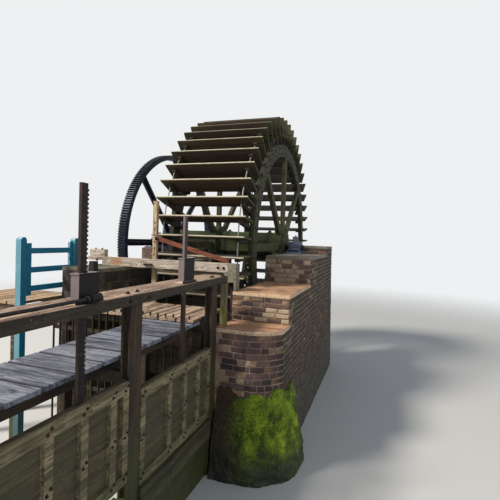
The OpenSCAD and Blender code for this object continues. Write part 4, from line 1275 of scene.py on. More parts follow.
@dataclass
class Bearings:
    """The cap flanges, bolts and oil cups of the two pillow blocks."""

    finishes: "Finishes"
    xs: tuple[float, float] = (1.72, -2.07)
    flange_x: float = 0.13
    flange_y: tuple[float, float] = (0.125, 0.195)
    flange_z: tuple[tuple[float, float], ...] = ((-0.07, -0.005), (0.002, 0.05))
    flange_edge: float = 0.006
    nut: float = 0.02
    nut_x: float = 0.085
    cap_nut: tuple[float, float] = (0.165, 0.05)
    foot_nut_y: float = 0.265
    foot_spread: float = 1.7
    foot_z: float = 3.025
    lid: float = 0.068
    lid_z: tuple[float, float] = (3.386, 3.400)
    cup_z: float = 3.398
    cup: Profile = ((0.012, 0.0), (0.012, 0.014), (0.02, 0.018), (0.02, 0.028), (0.012, 0.034))

    def flange(self, stock: Stock, x: float, side: int) -> None:
        """Adds the two flanges and the bolts on one side of a block.

        Args:
            stock: The piece.
            x: The block's place along the axle.
            side: -1 or 1, the side along Y.
        """
        near, far = sorted(WHEEL_Y + side * y for y in self.flange_y)
        for low, high in self.flange_z:
            stock.slab((x - self.flange_x, near, AXLE_Z + low), (x + self.flange_x, far, AXLE_Z + high),
                       self.flange_edge)
        y, rise = self.cap_nut
        for end in (-self.nut_x, self.nut_x):
            stock.nut((x + end, WHEEL_Y + side * y, AXLE_Z + rise), UP, self.nut, end)
            foot = (x + end * self.foot_spread, WHEEL_Y + side * self.foot_nut_y, self.foot_z)
            stock.nut(foot, UP, self.nut, end)

    def build(self) -> None:
        """Makes the fittings of both blocks."""
        dress(self.finishes.bearing, "bearings", rubbed=0.004)
        stock = Stock("bearing_fittings", "structure", "plain_iron", self.finishes.bearing)
        low, high = self.lid_z
        for x in self.xs:
            for side in (-1, 1):
                self.flange(stock, x, side)
            stock.slab((x - self.lid, WHEEL_Y - self.lid, low), (x + self.lid, WHEEL_Y + self.lid, high))
            stock.turned((x, WHEEL_Y, self.cup_z), UP, self.cup, sides=14)
        stock.finish_off()


Place = Callable[[float, float, float], Point]


class Face(Enum):
    """A side of a block of masonry: the way its courses run and the way it looks, in plan."""

    SLUICE = ((1.0, 0.0), (0.0, -1.0))
    RIVER = ((0.0, 1.0), (1.0, 0.0))
    WHEEL = ((1.0, 0.0), (0.0, 1.0))
    BANK = ((0.0, 1.0), (-1.0, 0.0))


def flat_wall(corner: tuple[float, float], face: Face, lean: float = 0.0) -> Place:
    """A flat face of masonry.

    Args:
        corner: Where its courses start, in plan.
        face: Which side of its block it is.
        lean: How far it moves out with each metre of height.

    Returns:
        A function from distance along, height and distance out to a point.
    """
    along, out = face.value

    def place(s: float, z: float, d: float) -> Point:
        """A point on the face."""
        away = d + lean * z
        return corner[0] + along[0] * s + out[0] * away, corner[1] + along[1] * s + out[1] * away, z
    return place


def round_wall(centre: tuple[float, float], radius: float, start: float) -> Place:
    """A round face of masonry.

    Args:
        centre: The middle of its curve, in plan.
        radius: The radius of its curve.
        start: The angle that its courses start at.

    Returns:
        A function from distance along, height and distance out to a point.
    """
    def place(s: float, z: float, d: float) -> Point:
        """A point on the face."""
        a = start + s / radius
        return centre[0] + (radius + d) * math.cos(a), centre[1] + (radius + d) * math.sin(a), z
    return place


@dataclass
class Bond:
    """A way of laying bricks or stones in courses.

    Args:
        length: A brick's usual length.
        course: A course's height with its joint.
        joint: The joint's width.
        proud: How far a face stands out of the mortar.
        rough: How uneven the faces are.
        seed: Where its random draws start.
        parts: How many flat parts a brick's front has along the course.
        shares: The lengths that are drawn from, as shares of the usual one.
        drift: How far a course's start wanders, and the shortest stretch that is still filled.
        closer: The stretch at a course's end that joins the brick before it.
        least: The shortest brick that is laid.
        arris: The most that a front's edges are rubbed back, and how much at most of its height.
        sunk: How far a brick reaches into the mortar.
        least_proud: The least that a front's edges stand out.
        stands: The shares between which a front stands out.
        rubs: The shares between which its edges are rubbed back.
        stretch: The shares between which its length varies.
        stagger: How far every second course starts back, as a share of the usual length.
    """

    length: float = 0.205
    course: float = 0.084
    joint: float = 0.015
    proud: float = 0.010
    rough: float = 0.0036
    seed: int = 5
    parts: int = 1
    shares: tuple[float, ...] = (1.0, 1.0, 1.0, 0.55, 0.8, 1.12)
    drift: float = 0.02
    closer: float = 0.04
    least: float = 0.022
    arris: tuple[float, float] = (0.007, 0.16)
    sunk: float = 0.003
    least_proud: float = 0.001
    stands: tuple[float, float] = (0.55, 1.25)
    rubs: tuple[float, float] = (0.8, 1.5)
    stretch: tuple[float, float] = (0.94, 1.06)
    stagger: float = 0.5

    def __post_init__(self) -> None:
        """Starts the random draws."""
        self.random = random.Random(self.seed)

    def uneven(self) -> float:
        """A random shift as large as the faces are uneven."""
        return self.random.uniform(-1, 1) * self.rough

    def brick(self, stock: Stock, place: Place, s: tuple[float, float], z: tuple[float, float]) -> None:
        """Lays one brick, a closed solid with a rubbed front.

        Args:
            stock: The piece that it belongs to.
            place: The face.
            s: Its ends along the course.
            z: Its bottom and top.
        """
        draw = self.random
        front = self.proud * draw.uniform(*self.stands)
        edge = min(self.arris[0], (z[1] - z[0]) * self.arris[1]) * draw.uniform(*self.rubs)
        parts = self.parts
        ring = [(i / parts, 0) for i in range(parts + 1)] + [(i / parts, 1) for i in range(parts, -1, -1)]
        span = s[1] - s[0]
        # Three rings of points: in the mortar, round the front's edges and on the front itself.
        points = [place(s[0] + span * a, z[b], -self.sunk) for a, b in ring]
        points += [place(s[0] + span * a + self.uneven(), z[b] + self.uneven(),
                         max(self.least_proud, front - edge)) for a, b in ring]
        points += [place(s[0] + edge + (span - 2 * edge) * a, z[b] + edge * (1 - 2 * b),
                         front + self.uneven()) for a, b in ring]
        count = len(ring)
        faces: list[tuple[int, ...]] = []
        for low in (0, 2 * count):
            for i in range(parts):
                j = count - 1 - i
                faces.append((low + i, low + i + 1, low + j - 1, low + j))
        for low in (0, count):
            for i in range(count):
                j = (i + 1) % count
                faces.append((low + i, low + j, low + count + j, low + count + i))
        stock.add(points, faces, draw.random())

    def lay(self, stock: Stock, place: Place, ends: Callable[[float], tuple[float, float]], low: float,
            high: float) -> None:
        """Lays a face.

        Args:
            stock: The piece that it belongs to.
            place: The face.
            ends: Where a course starts and ends at a height.
            low: The height of the first course.
            high: The height that the courses end at.
        """
        draw = self.random
        count = max(1, round((high - low) / self.course))
        tall = (high - low) / count
        for number in range(count):
            z0 = low + number * tall
            first, last = ends(z0 + tall / 2)
            s = first - number % 2 * self.stagger * self.length + draw.uniform(-self.drift, self.drift)
            while s < last - self.drift:
                end = s + self.length * draw.choice(self.shares) * draw.uniform(*self.stretch)
                if last - end < self.closer:
                    end = last + self.joint
                a, b = max(s, first), min(end - self.joint, last)
                if b - a > self.least:
                    self.brick(stock, place, (a, b), (z0 + self.joint / 2, z0 + tall - self.joint / 2))
                s = end


@dataclass
class RiverPier:
    """The river pier: bricks on every face, slabs on its steps and the mossy footing round its nose."""

    finishes: "Finishes"
    race_x: float = 1.505
    river_x: float = 2.475
    lean: float = 0.080 / 3.241
    front_y: float = -1.615
    back_y: float = 4.090
    nose: tuple[float, float] = (1.975, -1.115)
    nose_r: float = 0.500
    nose_parts: int = 4
    steps: tuple[tuple[float, float], ...] = ((-1.615, 1.970), (-0.945, 2.410), (0.850, 2.930),
                                              (3.054, 3.120))
    slab_t: float = 0.060
    foot_top: float = 1.150
    foot_lap: float = 0.14
    foot_out: tuple[tuple[float, float], ...] = ((0.0, 0.280), (0.5175, 0.196), (1.150, 0.018))
    foot_x: float = 1.571
    foot_y: float = -0.516
    foot_back: float = 0.35
    grid: tuple[int, int] = (150, 74)
    ragged: tuple[Point, ...] = ((7.0, 0.0, 0.13), (23.0, 1.0, 0.07))
    thin_share: float = 0.22
    thin_top: float = 0.45
    thin_power: float = 0.6
    thin_out: float = 0.016
    skin: float = 0.0015
    least_reach: float = 0.018
    humps: tuple[tuple[float, float], ...] = ((3.1, 0.5), (8.5, 0.3), (24.0, 0.16))
    tufts: tuple[tuple[float, float], ...] = ((60.0, 0.09),)
    hollow: float = 0.33
    hump_share: float = 0.62
    hollow_full: float = 0.11
    hollow_deep: float = 0.115

    def side_x(self, z: float) -> float:
        """Where the river side stands at a height."""
        return self.river_x - self.lean * z

    def meets(self, z: float) -> float:
        """The nose's last angle at a height, where the leaning side cuts it."""
        return -math.acos(min(1.0, (self.side_x(z) - self.nose[0]) / self.nose_r))

    def bricks(self) -> None:
        """Lays the bricks."""
        stock = Stock("pier_bricks", "structure", "masonry", self.finishes.brick)
        bond = Bond()
        bare = self.foot_top - self.foot_lap
        ledge = self.steps[0][1]
        front = flat_wall((self.race_x, self.front_y), Face.SLUICE)
        width = self.nose[0] - self.race_x
        bond.lay(stock, front, lambda z: (0.0, width), bare, ledge)
        nose = round_wall(self.nose, self.nose_r, -math.pi / 2)
        # A brick's front follows the nose in several flat parts.
        bond.parts = self.nose_parts
        bond.lay(stock, nose, lambda z: (0.0, self.nose_r * (math.pi / 2 + self.meets(z))), bare, ledge)
        bond.parts = 1
        side = flat_wall((self.river_x, 0.0), Face.RIVER, -self.lean)

        def from_nose(z: float) -> tuple[float, float]:
            """The first step's side, from where the nose ends."""
            return self.nose[1] + self.nose_r * math.sin(self.meets(z)), self.back_y

        def wide(z: float) -> tuple[float, float]:
            """From the race side to the leaning river side."""
            return 0.0, self.side_x(z) - self.race_x
        bond.lay(stock, side, lambda z: (self.foot_y - self.foot_back, self.back_y), 0.0, bare)
        bond.lay(stock, side, from_nose, bare, ledge)
        race = flat_wall((self.race_x, 0.0), Face.BANK)
        bond.lay(stock, race, lambda z: (self.front_y, self.back_y), 0.0, ledge)
        for (_, low), (y1, top) in zip(self.steps, self.steps[1:]):
            bond.lay(stock, side, lambda z, y1=y1: (y1, self.back_y), low, top)
            bond.lay(stock, race, lambda z, y1=y1: (y1, self.back_y), low, top)
            bond.lay(stock, flat_wall((self.race_x, y1), Face.SLUICE), wide, low + self.slab_t, top)
        bond.lay(stock, flat_wall((self.race_x, self.back_y), Face.WHEEL), wide, 0.0, self.steps[-1][1])
        stock.clear_of("sluice_posts", "race_deck_beams", "race_gate_guides", "beam_end_block",
                       "low_ledge_slab", "high_ledge_slab", "plinth_cap", "rear_coping", "sluice_sill",
                       "bearings")
        stock.finish_off()

    def spread(self, z: float) -> float:
        """How far the footing stands out of the pier's plan.

        Args:
            z: The height.

        Returns:
            The distance at that height.
        """
        for (z0, out0), (z1, out1) in zip(self.foot_out, self.foot_out[1:]):
            if z <= z1:
                return out0 + (out1 - out0) * (z - z0) / (z1 - z0)
        return self.foot_out[-1][1]

    def outline(self, s: float, out: float, z: float) -> Vector:
        """A point round the footing.

        Args:
            s: How far round it lies, from 0 to 1.
            out: How far out of the pier's plan it lies.
            z: Its height.

        Returns:
            The point.
        """
        flat = self.nose[0] - self.foot_x
        arc = self.nose_r * math.pi / 2
        side = self.foot_y - self.nose[1]
        far = s * (flat + arc + side)
        if far < flat:
            return Vector((self.foot_x + far, self.front_y - out, z))
        if far < flat + arc:
            a = -math.pi / 2 + (far - flat) / self.nose_r
            reach = self.nose_r + out
            return Vector((self.nose[0] + reach * math.cos(a), self.nose[1] + reach * math.sin(a), z))
        return Vector((self.river_x + out, self.nose[1] + far - flat - arc, z))

    def moss_height(self, s: float, thin: float) -> float:
        """How high the moss reaches.

        Args:
            s: How far round it lies, from 0 to 1.
            thin: How full the footing is there, from 0 to 1.

        Returns:
            The height of its ragged top.
        """
        ragged = sum(noise.noise(Vector((s * fine, lane, 0.0))) * strong
                     for fine, lane, strong in self.ragged)
        share =self.thin_top + (1 - self.thin_top) * thin ** self.thin_power
        return (self.foot_top + ragged) * share

    def moss_face(self, s: float, z: float, thin: float) -> Vector:
        """A point of the moss, which draws back between its humps and stays inside the plain footing.

        Args:
            s: How far round it lies, from 0 to 1.
            z: Its height.
            thin: How full the footing is there, from 0 to 1.

        Returns:
            The point.
        """
        rim = self.outline(s, 0.0, z)
        edge = self.outline(s, self.thin_out + (self.spread(z) - self.thin_out) * thin, z)
        away = edge - rim
        hollow = max(0.0, self.hollow - bumps(edge, self.humps) * self.hump_share - bumps(edge, self.tufts))
        back = hollow * min(1.0, away.length / self.hollow_full) * self.hollow_deep
        return rim + away.normalized() * max(self.least_reach, away.length - back)

    def footing(self) -> None:
        """Builds the uneven mossy footing inside the plain one's outline, and stands it for that one."""
        stock = Stock("mossy_nose", "structure", "mossy_footing", self.finishes.moss)
        around, rows = self.grid
        outer: list[Vector] = []
        inner: list[Vector] = []
        for j in range(rows + 1):
            for i in range(around + 1):
                s = i / around
                thin = min(1.0, (1.0 - s) / self.thin_share)
                z = self.moss_height(s, thin) * j / rows
                outer.append(self.moss_face(s, z, thin))
                near = self.outline(s, self.skin, z)
                near.x = min(near.x, self.side_x(z) + self.skin)
                inner.append(near)
        wide = around + 1
        total = len(outer)
        # The outer skin and the one at the pier are joined at both ends, at the foot and at the top.
        faces: list[tuple[int, ...]] = []
        for j in range(rows):
            for i in range(around):
                a, b, c, d = j * wide + i, j * wide + i + 1, (j + 1) * wide + i + 1, (j + 1) * wide + i
                faces += [(a, b, c, d), (total + a, total + d, total + c, total + b)]
            for i in (0, around):
                a, b = j * wide + i, (j + 1) * wide + i
                faces.append((a, b, total + b, total + a))
        for j in (0, rows):
            for i in range(around):
                a = j * wide + i
                faces.append((a, a + 1, total + a + 1, total + a))
        stock.add(outer + inner, faces)
        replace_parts(stock.finish_off(), "nose_footing")

    def build(self) -> None:
        """Dresses the pier's body and slabs, and makes its bricks and footing."""
        f = self.finishes
        dress(f.mortar, "river_pier")
        dress(f.tile, "low_ledge_slab", "high_ledge_slab", rubbed=0.010)
        dress(f.cap, "plinth_cap", "rear_coping", rubbed=0.010)
        self.bricks()
        self.footing()


@dataclass
class BankWalls:
    """The race wall of larger stones with its coping, and the brick pier under the outer bearing."""

    finishes: "Finishes"
    wall: tuple[Point, Point] = ((-1.225, -1.615, 0.0), (-0.525, 4.190, 2.690))
    pier: tuple[Point, Point] = ((-2.2875, 2.224, 0.0), (-1.8575, 3.024, 2.990))

    @staticmethod
    def clad(stock: Stock, bond: Bond, box: tuple[Point, Point]) -> None:
        """Lays all four faces of a block of masonry.

        Args:
            stock: The piece.
            bond: How it is laid.
            box: The block's corners.
        """
        (x0, y0, z0), (x1, y1, z1) = box
        corners = {Face.SLUICE: (x0, y0), Face.RIVER: (x1, y0), Face.WHEEL: (x0, y1), Face.BANK: (x0, y0)}
        for face, corner in corners.items():
            far = x1 - x0 if face in (Face.SLUICE, Face.WHEEL) else y1 - y0
            bond.lay(stock, flat_wall(corner, face), lambda z, far=far: (0.0, far), z0, z1)

    def build(self) -> None:
        """Lays the wall's stones and the outer pier's bricks."""
        f = self.finishes
        dress(f.wall_mortar, "race_wall")
        dress(f.coping, "race_wall_coping", rubbed=0.012)
        dress(f.mortar, "outer_pier")
        stones = Stock("wall_stones", "structure", "wall_stone", f.stone)
        rubble = Bond(length=0.34, course=0.168, joint=0.014, proud=0.013, rough=0.006, seed=11)
        self.clad(stones, rubble, self.wall)
        stones.clear_of("race_deck_beams", "race_deck_boards", "race_gate_guides", "wall_corner_post",
                        "bank_deck_frame", "race_wall_coping", "race_beam", "trash_rack", "wicket_posts")
        stones.finish_off()
        bricks = Stock("outer_pier_bricks", "structure", "masonry", f.brick)
        self.clad(bricks, Bond(seed=23), self.pier)
        bricks.clear_of("bearings")
        bricks.finish_off()


@dataclass(frozen=True)
class Leaf:
    """One spill gate: its number and body, its foot's height, its frame's two ends and its rack's place."""

    number: int
    body: str
    foot_z: float
    ends: tuple[float, float]
    rack_y: float


@dataclass(frozen=True)
class RackHousing:
    """One rack's housing, from its near end to its far end and up to its top, with its small fittings."""

    near: float
    far: float
    top: float
    middle_x: float = 1.475
    beam_z: float = 2.750
    foot_x: float = 0.042
    foot_y: float = 0.024
    foot_rise: float = 0.022
    foot_nut: float = 0.008
    lid_x: float = 0.028
    lid_inset: float = 0.012
    lid_screw: float = 0.007
    plate_x: tuple[float, float] = (1.430, 1.436)
    plate_inset: float = 0.03
    plate_foot: float = 0.05
    plate_head: float = 0.055
    screw_inset: float = 0.042
    screw_rise: float = 0.014
    screw: float = 0.006

    def fit(self, stock: Stock) -> None:
        """Adds the foot nuts, the lid's screws and the back plate with its screws.

        Args:
            stock: The piece that they belong to.
        """
        for x, y in product((self.middle_x - self.foot_x, self.middle_x + self.foot_x),
                            (self.near - self.foot_y, self.far + self.foot_y)):
            stock.nut((x, y, self.beam_z + self.foot_rise), UP, self.foot_nut, x + y)
        for x, y in product((self.middle_x - self.lid_x, self.middle_x + self.lid_x),
                            (self.near + self.lid_inset, self.far - self.lid_inset)):
            stock.stud((x, y, self.top), UP, self.lid_screw)
        low, high = self.beam_z + self.plate_foot, self.top - self.plate_head
        outside, sunk = self.plate_x
        stock.slab((outside, self.near + self.plate_inset, low), (sunk, self.far - self.plate_inset, high),
                   edge=0.0015)
        for y, z in product((self.near + self.screw_inset, self.far - self.screw_inset),
                            (low + self.screw_rise, high - self.screw_rise)):
            stock.stud((outside, y, z), TO_BANK, self.screw)


@dataclass
class SpillSluice:
    """The spill sluice: posts, sill, gates, head beams, racks with their housings, and the shaft."""

    finishes: "Finishes"
    face_x: float = 1.538
    back_x: float = 1.452
    stile: float = 0.080
    rail: float = 0.110
    leaf_h: float = 0.985
    inset: float = 0.050
    stile_step: float = 0.360
    pair: float = 0.018
    frame_nut: float = 0.010
    frame_stud: float = 0.012
    strap: float = 0.032
    strap_t: float = 0.008
    strap_z: tuple[float, float] = (-0.36, 0.13)
    strap_nut: float = 0.012
    strap_bolts: tuple[float, ...] = (-0.31, -0.2, 0.04, 0.1)
    head_top: float = 2.750
    post_x: float = 1.475
    leaves: tuple[Leaf, ...] = (Leaf(1, "spill_gate_near", 0.956, (-5.160, -3.665), -4.2425),
                                Leaf(2, "spill_gate_far", 0.806, (-3.465, -1.810), -2.5305))
    housings: tuple[RackHousing, ...] = (RackHousing(-4.3225, -4.0925, 2.990),
                                         RackHousing(-2.6105, -2.3455, 3.050))
    shaft: tuple[float, float] = (1.560, 2.790)
    collar_y: tuple[float, ...] = (-4.292, -5.345, -5.205)
    collar: Profile = ((0.024, 0.0), (0.027, 0.003), (0.027, 0.025), (0.024, 0.028))
    collar_screw: Profile = ((0.006, 0.0), (0.006, 0.010), (0.004, 0.012))
    post_bolts: tuple[float, ...] = (-5.30, -5.22, -3.64, -3.49, -1.75, -1.67)
    end_bolts: tuple[float, ...] = (-1.49, -1.43)
    end_bolt_x: float = 1.535
    splice_y: tuple[float, ...] = (-3.72, -3.41)
    splice_x: tuple[float, float] = (1.56, 1.185)
    splice_z: float = 2.70
    beam_nut: float = 0.017

    def gate(self, leaf: Leaf) -> None:
        """Bolts one gate's frame and straps its rack.

        Args:
            leaf: The gate.
        """
        stock = Stock(f"gate_{leaf.number}_bolts", leaf.body, "plain_iron", self.finishes.fixings)
        rack_y, foot = leaf.rack_y, leaf.foot_z
        top = foot + self.leaf_h
        stiles = (leaf.ends[0] + self.stile / 2, rack_y - self.stile_step, rack_y,
                  rack_y + self.stile_step, leaf.ends[1] - self.stile / 2)
        heights = (foot + self.inset + self.rail / 2, foot + self.leaf_h / 2, top - self.rail / 2)
        for y, z in product(stiles, heights):
            for side in (-self.pair, self.pair):
                stock.nut((self.face_x, y + side, z + side), TO_RIVER, self.frame_nut, y)
                stock.stud((self.back_x, y + side, z + side), TO_BANK, self.frame_stud)
        outside = self.back_x - self.strap_t
        low, high = self.strap_z
        stock.slab((outside, rack_y - self.strap, top + low),
                   (self.back_x, rack_y + self.strap, top + high), edge=0.002)
        for rise in self.strap_bolts:
            stock.nut((outside, rack_y, top + rise), TO_BANK, self.strap_nut, top + rise)
        stock.finish_off()

    def collars(self) -> None:
        """Puts the shaft's collars on, each with its screw."""
        stock = Stock("shaft_collars", "shaft", "plain_iron", self.finishes.dark_iron)
        x, z = self.shaft
        width, rim = self.collar[-1][1], self.collar[0][0]
        for y in self.collar_y:
            stock.turned((x, y, z), TO_WHEEL, self.collar, sides=24)
            stock.turned((x, y + width / 2, z + rim), UP, self.collar_screw, sides=8)
        stock.finish_off()

    def beam_bolts(self) -> None:
        """Bolts the head beams to the posts and to each other."""
        stock = Stock("head_beam_bolts", "structure", "plain_iron", self.finishes.fixings)
        for x, ys in ((self.post_x, self.post_bolts), (self.end_bolt_x, self.end_bolts)):
            for y in ys:
                stock.nut((x, y, self.head_top), UP, self.beam_nut, y)
        for y in self.splice_y:
            for x, way in zip(self.splice_x, (TO_RIVER, TO_BANK)):
                stock.nut((x, y, self.splice_z), way, self.beam_nut, y)
        stock.finish_off()

    def build(self) -> None:
        """Dresses the sluice and makes its irons."""
        f = self.finishes
        dress(f.post, "sluice_posts", rubbed=0.009)
        dress(f.end_post, "beam_end_post", rubbed=0.009)
        dress(f.sill, "sluice_sill", rubbed=0.004)
        dress(f.gate, "spill_gate_1", rubbed=0.004)
        dress(f.gate_far, "spill_gate_2", rubbed=0.004)
        dress(f.head, "head_beam_near", "head_beam_far", rubbed=0.009)
        dress(f.rack_dark, "rack_1")
        dress(f.rack_grey, "rack_2")
        dress(f.housing, "rack_housing_1", "rack_housing_2", rubbed=0.004)
        dress(f.dark_iron, "drive_shaft", "shaft_bracket")
        for leaf in self.leaves:
            self.gate(leaf)
        stock = Stock("housing_fittings", "structure", "housing_iron", f.housing)
        for housing in self.housings:
            housing.fit(stock)
        stock.finish_off()
        self.collars()
        self.beam_bolts()


@dataclass
class RaceGate:
    """The race beam, the gate's stem with its prop bar, and their small irons."""

    finishes: "Finishes"
    face_y: float = -0.910
    staple_x: tuple[float, ...] = (-0.135, 0.005)
    staple: tuple[Point, Point] = ((-0.013, -0.030, 2.795), (0.013, 0.002, 2.825))
    strap: tuple[Point, Point] = ((-0.148, -0.034, 2.792), (0.018, -0.020, 2.828))
    front_bolts: tuple[tuple[float, float], ...] = ((-1.13, 2.845), (1.22, 2.825), (1.32, 2.825))
    front_nut: float = 0.016
    top_bolts: tuple[Point, ...] = ((-1.24, -0.815, 3.030), (-1.10, -0.815, 3.030))
    top_nut: float = 0.015
    pin: Point = (0.015, -0.821, 3.260)
    pin_nut: float = 0.022
    pin_spin: float = 0.3
    stem_studs: tuple[Point, ...] = ((0.005, -0.745, 3.24), (0.005, -0.745, 3.28))
    stud: float = 0.006

    def beam_irons(self) -> None:
        """Straps the stem to the beam and bolts the beam's ends."""
        stock = Stock("race_beam_irons", "structure", "plain_iron", self.finishes.fixings)
        blocks = [(self.staple, x, 0.003) for x in self.staple_x] + [(self.strap, 0.0, 0.004)]
        for corners, x, edge in blocks:
            stock.slab_at((x, self.face_y, 0.0), corners, edge)
        for x, z in self.front_bolts:
            stock.nut((x, self.face_y, z), TO_SLUICE, self.front_nut, x)
        for bolt in self.top_bolts:
            stock.nut(bolt, UP, self.top_nut, bolt[0])
        stock.finish_off()

    def pin_irons(self) -> None:
        """Puts the nut on the prop bar's pin, with two studs beside it on the stem."""
        stock = Stock("prop_pin_nut", "race_gate", "plain_iron", self.finishes.fixings)
        stock.nut(self.pin, TO_SLUICE, self.pin_nut, self.pin_spin)
        for spot in self.stem_studs:
            stock.stud(spot, TO_SLUICE, self.stud)
        stock.finish_off()

    def build(self) -> None:
        """Dresses the race gate's pieces and makes its irons."""
        f = self.finishes
        dress(f.race_beam, "race_beam", "beam_end_timber", rubbed=0.008)
        dress(f.corner, "beam_end_block", rubbed=0.008)
        dress(f.corner_post, "wall_corner_post", rubbed=0.008)
        dress(f.stem, "race_gate_stem", rubbed=0.004)
        dress(f.prop, "prop_bar", rubbed=0.004)
        dress(f.post, "race_gate_guides", rubbed=0.004)
        dress(f.cross, "race_gate_leaf", rubbed=0.004)
        dress(f.dark_iron, "stem_guide")
        self.beam_irons()
        self.pin_irons()


@dataclass(frozen=True)
class Nailing:
    """The nails of one deck.

    Args:
        along_y: Whether its boards follow one another along Y, and not along X.
        start: Where its first board starts.
        pitch: The distance from one board to the next.
        count: How many boards are nailed.
        bearers: Where the lines of nails run.
        across: Where the nails lie across a board.
        top: The deck's height.
    """

    along_y: bool
    start: float
    pitch: float
    count: int
    bearers: tuple[float, ...]
    across: tuple[float, ...]
    top: float

    def spots(self) -> list[Point]:
        """Where the nails go.

        Returns:
            The places of their heads.
        """
        made: list[Point] = []
        for i, bearer, side in product(range(self.count), self.bearers, self.across):
            nail = self.start + i * self.pitch + side
            made.append((bearer, nail, self.top) if self.along_y else (nail, bearer, self.top))
        return made


@dataclass
class Decks:
    """The walkway, the race deck and the bank deck, with the nails of their boards."""

    finishes: "Finishes"
    nail: float = 0.0065
    stray: tuple[float, float] = (0.008, 0.01)
    seed: int = 3
    nailings: tuple[Nailing, ...] = (
        Nailing(True, -5.51, 0.335, 11, (0.74, 1.26), (0.05, 0.16, 0.265), 2.150),
        Nailing(False, -0.523, 0.2747, 7, (-1.78, -1.12), (0.05, 0.2), 2.200),
        Nailing(False, -2.68, 0.2207, 6, (-2.27, -1.26), (0.045, 0.155), 2.250))

    def nails(self) -> None:
        """Nails every board to what it lies on."""
        stock = Stock("deck_nails", "structure", "plain_iron", self.finishes.fixings)
        draw = random.Random(self.seed)
        dx, dy = self.stray
        for nailing in self.nailings:
            for x, y, z in nailing.spots():
                stock.stud((x + draw.uniform(-dx, dx), y + draw.uniform(-dy, dy), z), UP, self.nail)
        stock.finish_off()

    def build(self) -> None:
        """Dresses the decks and nails them."""
        f = self.finishes
        for finish, name in ((f.walk, "walkway_boards"), (f.deck, "race_deck_boards"),
                             (f.bank, "bank_deck_boards"), (f.walk_frame, "walkway_frame"),
                             (f.cross, "race_deck_beams"), (f.bank_frame, "bank_deck_frame")):
            dress(finish, name, rubbed=0.005)
        dress(f.bar, "trash_rack")
        self.nails()


@dataclass
class Wicket:
    """The teal wicket with its rails' bolts, hinge bands and latch."""

    finishes: "Finishes"
    faces: tuple[float, float] = (-1.344, -1.299)
    stiles: tuple[float, float] = (-2.1965, -1.3475)
    rails: tuple[float, ...] = (2.4425, 2.725, 3.0145)
    bolt: Profile = ((0.014, -0.001), (0.013, 0.003), (0.007, 0.007))
    bands: tuple[tuple[Point, Point], ...] = (((-0.001, -2.228, 2.502), (0.005, -2.165, 2.530)),
                                              ((-0.001, -2.228, 3.082), (0.005, -2.165, 3.110)))
    keep: tuple[Point, Point] = ((-0.001, -1.405, 2.85), (0.007, -1.325, 2.91))
    latch_x: float = 0.013
    latch_y: float = -1.42
    latch_z: float = 2.88
    latch: Profile = ((0.006, 0.0), (0.007, 0.002), (0.007, 0.095), (0.006, 0.097))
    knob_y: float = -1.37
    knob: Profile = ((0.005, 0.0), (0.005, 0.02))

    def build(self) -> None:
        """Dresses the wicket and makes its small fittings."""
        f = self.finishes
        dress(f.teal, "wicket_posts", "wicket_gate", rubbed=0.005)
        stock = Stock("wicket_fittings", "wicket", "teal_paint", f.teal)
        for y, z in product(self.stiles, self.rails):
            for x, way in zip(self.faces, (TO_BANK, TO_RIVER)):
                stock.turned((x, y, z), way, self.bolt, sides=12)
        face = self.faces[1]
        for corners, edge in ((self.bands[0], 0.0015), (self.bands[1], 0.0015), (self.keep, 0.002)):
            stock.slab_at((face, 0.0, 0.0), corners, edge)
        out = face + self.latch_x
        stock.turned((out, self.latch_y, self.latch_z), TO_WHEEL, self.latch, sides=12)
        stock.turned((out, self.knob_y, self.latch_z), TO_RIVER, self.knob, sides=10)
        stock.finish_off()


@dataclass(frozen=True)
class Lamp:
    """A soft round lamp: where it hangs, what it points at, its width, its watts and its tint."""

    name: str
    spot: Point
    aim: Point
    size: float
    power: float
    tint: Colour

    def hang(self) -> None:
        """Puts the lamp in the scene."""
        data = bpy.data.lights.new(self.name, "AREA")
        data.shape = "DISK"
        data.size = self.size
        data.energy = self.power
        data.color = self.tint
        light = stand(self.name, data)
        light.location = self.spot
        light.rotation_mode = "QUATERNION"
        light.rotation_quaternion = (Vector(self.aim) - Vector(self.spot)).to_track_quat("-Z", "Y")


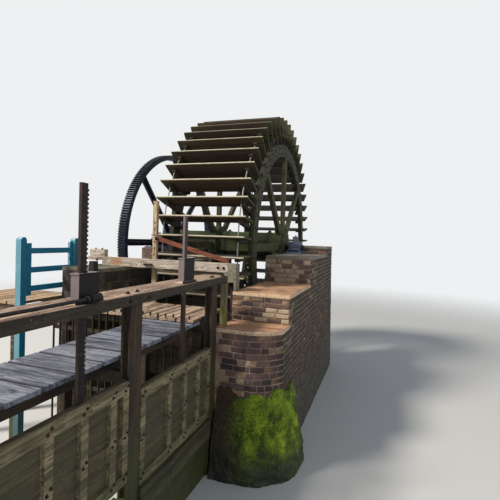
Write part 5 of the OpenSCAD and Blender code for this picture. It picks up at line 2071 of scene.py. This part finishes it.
@dataclass
class Studio:
    """The camera, the floor and the lights."""

    eye: Point = (3.725, -6.810, 3.300)
    focal: float = 398.3
    photo: int = 500
    sensor: float = 36.0
    see_to: float = 300.0
    turn: float = 18.48
    dip: float = 1.54
    roll: float = 1.95
    floor_size: float = 90.0
    floor_z: float = -0.002
    floor_tint: Colour = (0.66, 0.66, 0.65)
    floor_fade: tuple[float, float] = (11.0, 26.0)
    backdrop: Colour = (0.86, 0.87, 0.88)
    sky: Colour = (0.80, 0.86, 0.95)
    sky_strength: float = 0.38
    lamps: tuple[Lamp, ...] = (
        Lamp("key", (-21.6, -19.2, 30.8), (0.0, 0.0, 2.0), 8.4, 19000.0, (1.0, 0.93, 0.82)),
        Lamp("fill", (12.0, -9.0, 8.0), (0.5, 0.0, 2.0), 9.0, 150.0, (0.86, 0.92, 1.0)))

    def camera(self) -> None:
        """Sets the camera at the photograph's place and direction."""
        data = bpy.data.cameras.new("camera")
        data.sensor_width = self.sensor
        data.lens = self.focal / self.photo * self.sensor
        data.clip_end = self.see_to
        a, p, r = (math.radians(v) for v in (self.turn, self.dip, self.roll))
        right = Vector((math.cos(a), math.sin(a), 0))
        ahead = Vector((-math.sin(a), math.cos(a), 0))
        up = Vector(UP)
        look = ahead * math.cos(p) - up * math.sin(p)
        top = ahead * math.sin(p) + up * math.cos(p)
        across = right * math.cos(r) + top * math.sin(r)
        above = top * math.cos(r) - right * math.sin(r)
        turn = Matrix((across, above, -look)).transposed()
        camera = stand("camera", data)
        camera.matrix_world = Matrix.Translation(self.eye) @ turn.to_4x4()
        bpy.context.scene.camera = camera

    def floor(self) -> None:
        """Lays a plain pale floor that fades into the background."""
        mesh = bpy.data.meshes.new("floor")
        h = self.floor_size
        mesh.from_pydata([(-h, -h, 0), (h, -h, 0), (h, h, 0), (-h, h, 0)], [], [(0, 1, 2, 3)])
        b = Bench("floor")
        far = b.away(b.place(), (0.0, 0.0, 0.0)).fade(*self.floor_fade)
        seen = b.plainly_seen()
        matt = b.node("ShaderNodeBsdfDiffuse", inputs={"Color": self.floor_tint})
        glow = b.node("ShaderNodeEmission", inputs={"Color": self.backdrop, "Strength": 1.0})
        mixed = b.node("ShaderNodeMixShader", inputs={0: far * seen, 1: matt, 2: glow})
        b.node("ShaderNodeOutputMaterial", inputs={"Surface": mixed})
        mesh.materials.append(b.owner)
        floor = stand("floor", mesh)
        floor.location.z = self.floor_z

    def lights(self) -> None:
        """Hangs a warm key light, a cool fill and a plain pale surround."""
        for lamp in self.lamps:
            lamp.hang()
        world = bpy.data.worlds.new("surround")
        bpy.context.scene.world = world
        b = Bench("surround", world)
        soft = b.node("ShaderNodeBackground", inputs={"Color": self.sky, "Strength": self.sky_strength})
        plain = b.node("ShaderNodeBackground", inputs={"Color": self.backdrop, "Strength": 1.0})
        mixed = b.node("ShaderNodeMixShader", inputs={0: b.plainly_seen(), 1: soft, 2: plain})
        b.node("ShaderNodeOutputWorld", inputs={"Surface": mixed})

    def build(self) -> None:
        """Sets up the whole studio."""
        bpy.context.scene.view_settings.view_transform = "Standard"
        self.camera()
        self.floor()
        self.lights()


def main() -> None:
    """Builds the studio, the finishes and each part in order."""
    logging.basicConfig(level=logging.INFO, format="%(name)s: %(message)s")
    Studio().build()
    finishes = Finishes()
    for part in (RiverPier, BankWalls, WheelIrons, RingGear, Bearings, SpillSluice, RaceGate, Decks,
                 Wicket):
        part(finishes).build()
        log.info("%s is built", part.__name__)


if __name__ == "__main__":
    main()
